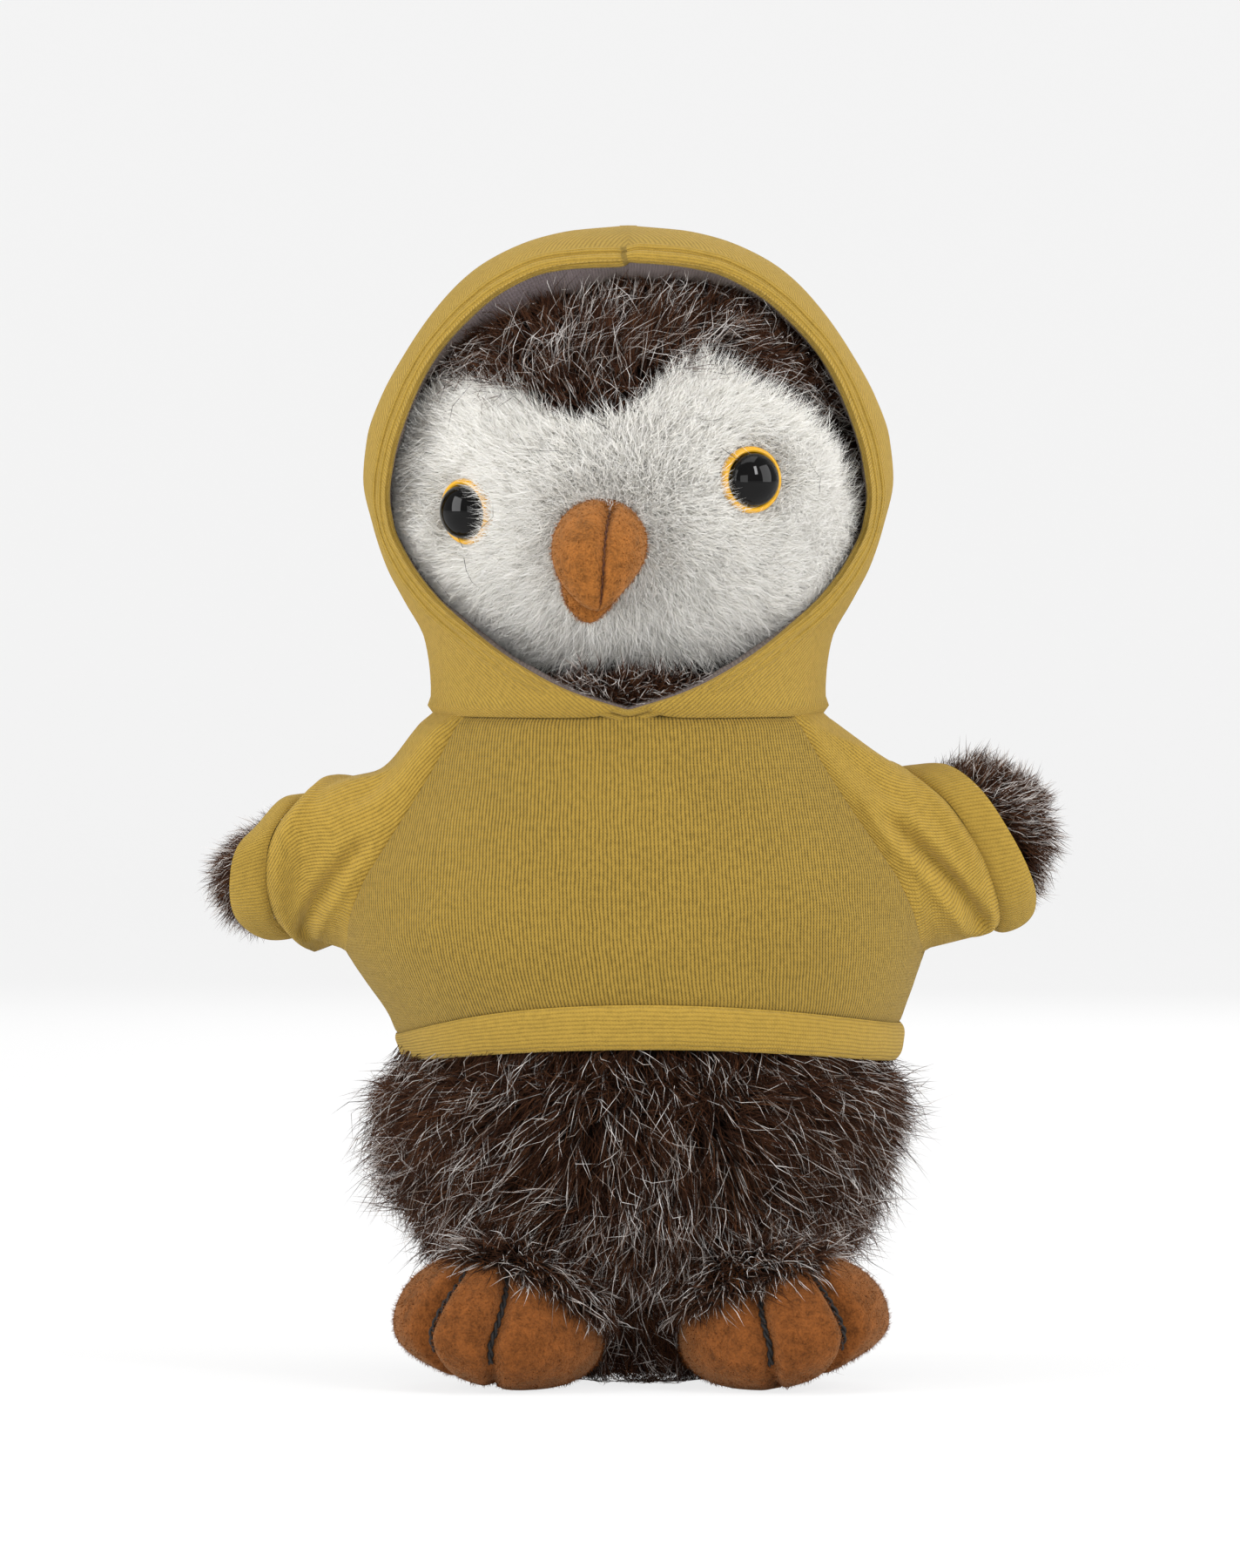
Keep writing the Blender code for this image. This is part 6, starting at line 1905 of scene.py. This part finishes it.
def plied_thread(node, path, body="torso", material="black_thread_ply", radius=0.00030):
    """Two plies twisted round a path."""
    travel = travelled(path)
    fine = np.linspace(0, travel[-1], 110)
    path = columns_at(fine, travel, path)
    ends = np.sqrt(np.clip(np.minimum(fine, fine[-1] - fine) / 0.0006, 0.05, 1.0))
    sides = PLY_SIDES
    ring = np.array([(math.cos(a), math.sin(a)) for a in 2 * math.pi * np.arange(sides) / sides])
    points, faces = [], []
    for ply in range(2):
        turn = 2 * math.pi * fine / PLY_LAY + math.pi * ply
        offset = np.stack((np.cos(turn), np.sin(turn)), 1)[:, None] * radius * 0.95
        rings = tube_along(path, offset + ring[None] * (radius * ends)[:, None, None])
        base, last = len(points), (len(path) - 1) * sides
        caps = [tuple(range(sides))[::-1], tuple(range(last, last + sides))]
        points += list(rings.reshape(-1, 3))
        faces += [tuple(base + i for i in face) for face in ring_faces(len(path), sides) + caps]
    obj = mesh_object(node + "_ply", points, faces)
    close_up(obj)
    smooth(obj)
    dress(obj, material, body, (node,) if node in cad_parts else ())


# Stage

PHOTO_WIDTH = 1424
PHOTO_HEIGHT = 1800
PIXEL = 0.00014936
ORIGIN_X_PIXEL = 736.0
CAMERA_DISTANCE = 2.4
CAMERA_ELEVATION = 1.5
FRAME_SCALE = 1.0144
AIM_HEIGHT = 0.1029
SWEEP_DEPTH, SWEEP_FRONT, SWEEP_HALF_WIDTH, SWEEP_HEIGHT, SWEEP_RADIUS = 3.4, -3.6, 4.0, 2.6, 0.9
WORLD_STRENGTH = 0.46
LAMP_TARGET = (0.0, 0.0, 0.11)
LAMPS = (
    # name, place, width and height, power in watts
    ("key_box", (0.80, -0.95, 0.80), (0.20, 0.60), 7.0),
    ("left_box", (-1.12, -0.50, 0.50), (0.7, 0.9), 12.0),
    ("right_box", (1.15, -0.35, 0.50), (0.7, 0.9), 7.0),
    ("front_box", (-0.15, -1.5, 0.22), (0.9, 0.7), 5.0),
    ("top_box", (0.0, -0.1, 1.2), (1.0, 0.8), 5.5),
    ("rear_box", (0.25, 1.3, 0.7), (0.9, 0.9), 6.0),
)


def lamp(name, place, size, energy):
    """A soft rectangular lamp that looks at the owl."""
    data = bpy.data.lights.new(name, "AREA")
    data.shape = "RECTANGLE"
    data.size, data.size_y = size
    data.energy = energy
    obj = place_in_scene(name, data)
    obj.location = place
    obj.rotation_euler = (Vector(LAMP_TARGET) - Vector(place)).to_track_quat("-Z", "Y").to_euler()


def white_sweep():
    """Matt white paper that glows to the camera, so that it shows evenly white."""
    material = bpy.data.materials.new("white_sweep")
    material.use_nodes = True
    tree = material.node_tree
    tree.nodes.clear()
    paper = put(tree, "ShaderNodeBsdfDiffuse", {"Color": (0.86, 0.86, 0.86, 1.0)})
    glow = put(tree, "ShaderNodeEmission", {"Color": (1.0, 1.0, 1.0, 1.0), "Strength": 1.0})
    path = put(tree, "ShaderNodeLightPath")
    seen = calc(tree, "MAXIMUM", path.outputs["Is Camera Ray"], path.outputs["Is Glossy Ray"])
    share = calc(tree, "MULTIPLY", seen, 0.80)
    mixed = put(tree, "ShaderNodeMixShader", {0: share, 1: paper.outputs[0], 2: glow.outputs[0]})
    end = put(tree, "ShaderNodeOutputMaterial", {"Surface": mixed.outputs[0]})
    end.is_active_output = True
    return material


def make_stage():
    """White sweep, soft lamps and the camera at the photograph's angle."""
    scene = bpy.context.scene
    scene.view_settings.view_transform = "Standard"
    depth, radius = SWEEP_DEPTH, SWEEP_RADIUS
    bend = [
        (depth - radius + radius * math.sin(a), radius - radius * math.cos(a))
        for a in np.linspace(0, math.pi / 2, 24)
    ]
    line = [(SWEEP_FRONT, 0.0)] + bend + [(depth, SWEEP_HEIGHT)]
    vertices = [(x, y, z - 0.0002) for x in (-SWEEP_HALF_WIDTH, SWEEP_HALF_WIDTH) for y, z in line]
    count = len(line)
    sweep = mesh_object("backdrop", vertices, [(count + i, count + i + 1, i + 1, i) for i in range(count - 1)])
    smooth(sweep, 60.0)
    sweep.data.materials.append(white_sweep())

    scene.world = bpy.data.worlds.new("studio")
    scene.world.use_nodes = True
    background = scene.world.node_tree.nodes["Background"]
    background.inputs["Color"].default_value = (1.0, 1.0, 1.0, 1.0)
    background.inputs["Strength"].default_value = WORLD_STRENGTH
    for settings in LAMPS:
        lamp(*settings)

    elevation = math.radians(CAMERA_ELEVATION)
    aim = Vector(((PHOTO_WIDTH / 2 - ORIGIN_X_PIXEL) * PIXEL * FRAME_SCALE, 0.0, AIM_HEIGHT))
    data = bpy.data.cameras.new("camera")
    data.sensor_width = 36.0
    data.lens = data.sensor_width * CAMERA_DISTANCE / (PHOTO_HEIGHT * PIXEL * FRAME_SCALE)
    data.clip_start, data.clip_end = 0.05, 20.0
    camera = place_in_scene("camera", data)
    back = Vector((0.0, -math.cos(elevation), math.sin(elevation)))
    camera.location = aim + back * CAMERA_DISTANCE
    camera.rotation_euler = (-back).to_track_quat("-Z", "Y").to_euler()
    scene.camera = camera


# Add-on

class OwlSettings(bpy.types.PropertyGroup):
    """What a user would change: the colours, how long the pile is and how dense."""

    jersey: bpy.props.FloatVectorProperty(
        name="Jersey", description="Colour of the top's yarn", subtype="COLOR", size=4, min=0.0, max=1.0,
        default=tint(*MUSTARD),
    )
    velour: bpy.props.FloatVectorProperty(
        name="Foot velour", description="Colour of the feet", subtype="COLOR", size=4, min=0.0, max=1.0,
        default=tint(*RUST),
    )
    beak_velour: bpy.props.FloatVectorProperty(
        name="Beak velour", description="Colour of the beak", subtype="COLOR", size=4, min=0.0, max=1.0,
        default=tint(*BEAK_RUST),
    )
    eye_ring: bpy.props.FloatVectorProperty(
        name="Eye ring", description="Colour of the eye rings", subtype="COLOR", size=4, min=0.0, max=1.0,
        default=tint(*RING_YELLOW),
    )
    underfur_length: bpy.props.FloatProperty(
        name="Underfur length", description="Longest short fibre on the body", unit="LENGTH", default=0.0110,
    )
    guard_length: bpy.props.FloatProperty(
        name="Guard hair length", description="Longest hair on the body", unit="LENGTH", default=0.0180,
    )
    face_length: bpy.props.FloatProperty(
        name="Face pile length", description="Longest fibre on the white face", unit="LENGTH", default=0.0094,
    )
    body_underfur: bpy.props.IntProperty(name="Underfur", description="Short fibres on the body", default=54000)
    body_guard_hairs: bpy.props.IntProperty(name="Guard hairs", description="Long hairs on the body", default=24000)
    crown_fibres: bpy.props.IntProperty(name="Crown", description="Guard hairs on the crown", default=9000)
    wing_fibres: bpy.props.IntProperty(name="Wings", description="Guard hairs on a wing tip", default=3000)
    face_fibres: bpy.props.IntProperty(name="Face", description="Fibres on the white face", default=69000)
    foot_drape: bpy.props.IntProperty(name="Foot drape", description="Long hairs over each foot", default=1300)
    throat_fibres: bpy.props.IntProperty(name="Throat", description="Guard hairs under the chin", default=1300)
    nap_fibres: bpy.props.IntProperty(name="Nap", description="Nap fibres on each foot", default=8000)


class OWL_OT_stage(bpy.types.Operator):
    """Set the backdrop, the lamps and the camera"""

    bl_idname = "owl.stage"
    bl_label = "Stage"

    def execute(self, context):
        make_stage()
        return {"FINISHED"}


class OWL_OT_forms(bpy.types.Operator):
    """Make the stuffed body, head and wings"""

    bl_idname = "owl.forms"
    bl_label = "Stuffed forms"

    def execute(self, context):
        make_forms()
        return {"FINISHED"}


class OWL_OT_face_backing(bpy.types.Operator):
    """Make the white cloth under the face"""

    bl_idname = "owl.face_backing"
    bl_label = "Face backing"

    def execute(self, context):
        make_face_backing()
        return {"FINISHED"}


class OWL_OT_panels(bpy.types.Operator):
    """Knit the front and back of the top and its hem"""

    bl_idname = "owl.panels"
    bl_label = "Panels and hem"

    def execute(self, context):
        make_panels()
        make_hem()
        return {"FINISHED"}


class OWL_OT_sleeves(bpy.types.Operator):
    """Knit the raglan sleeves and their cuffs"""

    bl_idname = "owl.sleeves"
    bl_label = "Sleeves and cuffs"

    def execute(self, context):
        make_sleeves()
        return {"FINISHED"}


class OWL_OT_hood(bpy.types.Operator):
    """Knit the hood, its turned edge and its lining"""

    bl_idname = "owl.hood"
    bl_label = "Hood"

    def execute(self, context):
        make_hood()
        make_hood_edge()
        make_lining()
        return {"FINISHED"}


class OWL_OT_eyes(bpy.types.Operator):
    """Make the pupils and their rings"""

    bl_idname = "owl.eyes"
    bl_label = "Eyes"

    def execute(self, context):
        make_eyes()
        return {"FINISHED"}


class OWL_OT_beak(bpy.types.Operator):
    """Make the upper and lower beak"""

    bl_idname = "owl.beak"
    bl_label = "Beak"

    def execute(self, context):
        make_beak(context.scene.owl_settings)
        return {"FINISHED"}


class OWL_OT_feet(bpy.types.Operator):
    """Make the feet and their toe threads"""

    bl_idname = "owl.feet"
    bl_label = "Feet"

    def execute(self, context):
        make_feet(context.scene.owl_settings)
        return {"FINISHED"}


class OWL_OT_body_fur(bpy.types.Operator):
    """Grow the brown fur below the hem and over the feet"""

    bl_idname = "owl.body_fur"
    bl_label = "Body fur"

    def execute(self, context):
        make_body_fur(context.scene.owl_settings)
        make_foot_drape(context.scene.owl_settings)
        return {"FINISHED"}


class OWL_OT_head_fur(bpy.types.Operator):
    """Grow the brown fur of the crown, the chin and the throat"""

    bl_idname = "owl.head_fur"
    bl_label = "Head fur"

    def execute(self, context):
        make_crown_fur(context.scene.owl_settings)
        make_throat_fur(context.scene.owl_settings)
        return {"FINISHED"}


class OWL_OT_wing_fur(bpy.types.Operator):
    """Grow the brown fur of the wing tips"""

    bl_idname = "owl.wing_fur"
    bl_label = "Wing fur"

    def execute(self, context):
        make_wing_fur(context.scene.owl_settings)
        return {"FINISHED"}


class OWL_OT_face_pile(bpy.types.Operator):
    """Grow the white face and the dark hairs that stray over it"""

    bl_idname = "owl.face_pile"
    bl_label = "Face pile"

    def execute(self, context):
        make_stray_hairs()
        make_face_pile(context.scene.owl_settings)
        return {"FINISHED"}


class OWL_PT_panel(bpy.types.Panel):
    """Lists the owl's settings and steps"""

    bl_label = "Plush Owl"
    bl_idname = "OWL_PT_panel"
    bl_space_type = "VIEW_3D"
    bl_region_type = "UI"
    bl_category = "Plush Owl"

    def draw(self, context):
        settings = context.scene.owl_settings
        for name in OwlSettings.__annotations__:
            self.layout.prop(settings, name)
        for step in STEPS:
            self.layout.operator(step.bl_idname)


STEPS = (
    OWL_OT_stage, OWL_OT_forms, OWL_OT_face_backing, OWL_OT_panels,
    OWL_OT_sleeves, OWL_OT_hood, OWL_OT_eyes, OWL_OT_beak,
    OWL_OT_feet, OWL_OT_body_fur, OWL_OT_head_fur, OWL_OT_wing_fur,
    OWL_OT_face_pile,
)
CLASSES = (OwlSettings, *STEPS, OWL_PT_panel)


def register():
    for cls in CLASSES:
        bpy.utils.register_class(cls)
    bpy.types.Scene.owl_settings = bpy.props.PointerProperty(type=OwlSettings)


def unregister():
    del bpy.types.Scene.owl_settings
    for cls in reversed(CLASSES):
        bpy.utils.unregister_class(cls)


def main():
    register()
    for step in STEPS:
        module, operator = step.bl_idname.split(".")
        getattr(getattr(bpy.ops, module), operator)()


if __name__ == "__main__":
    main()
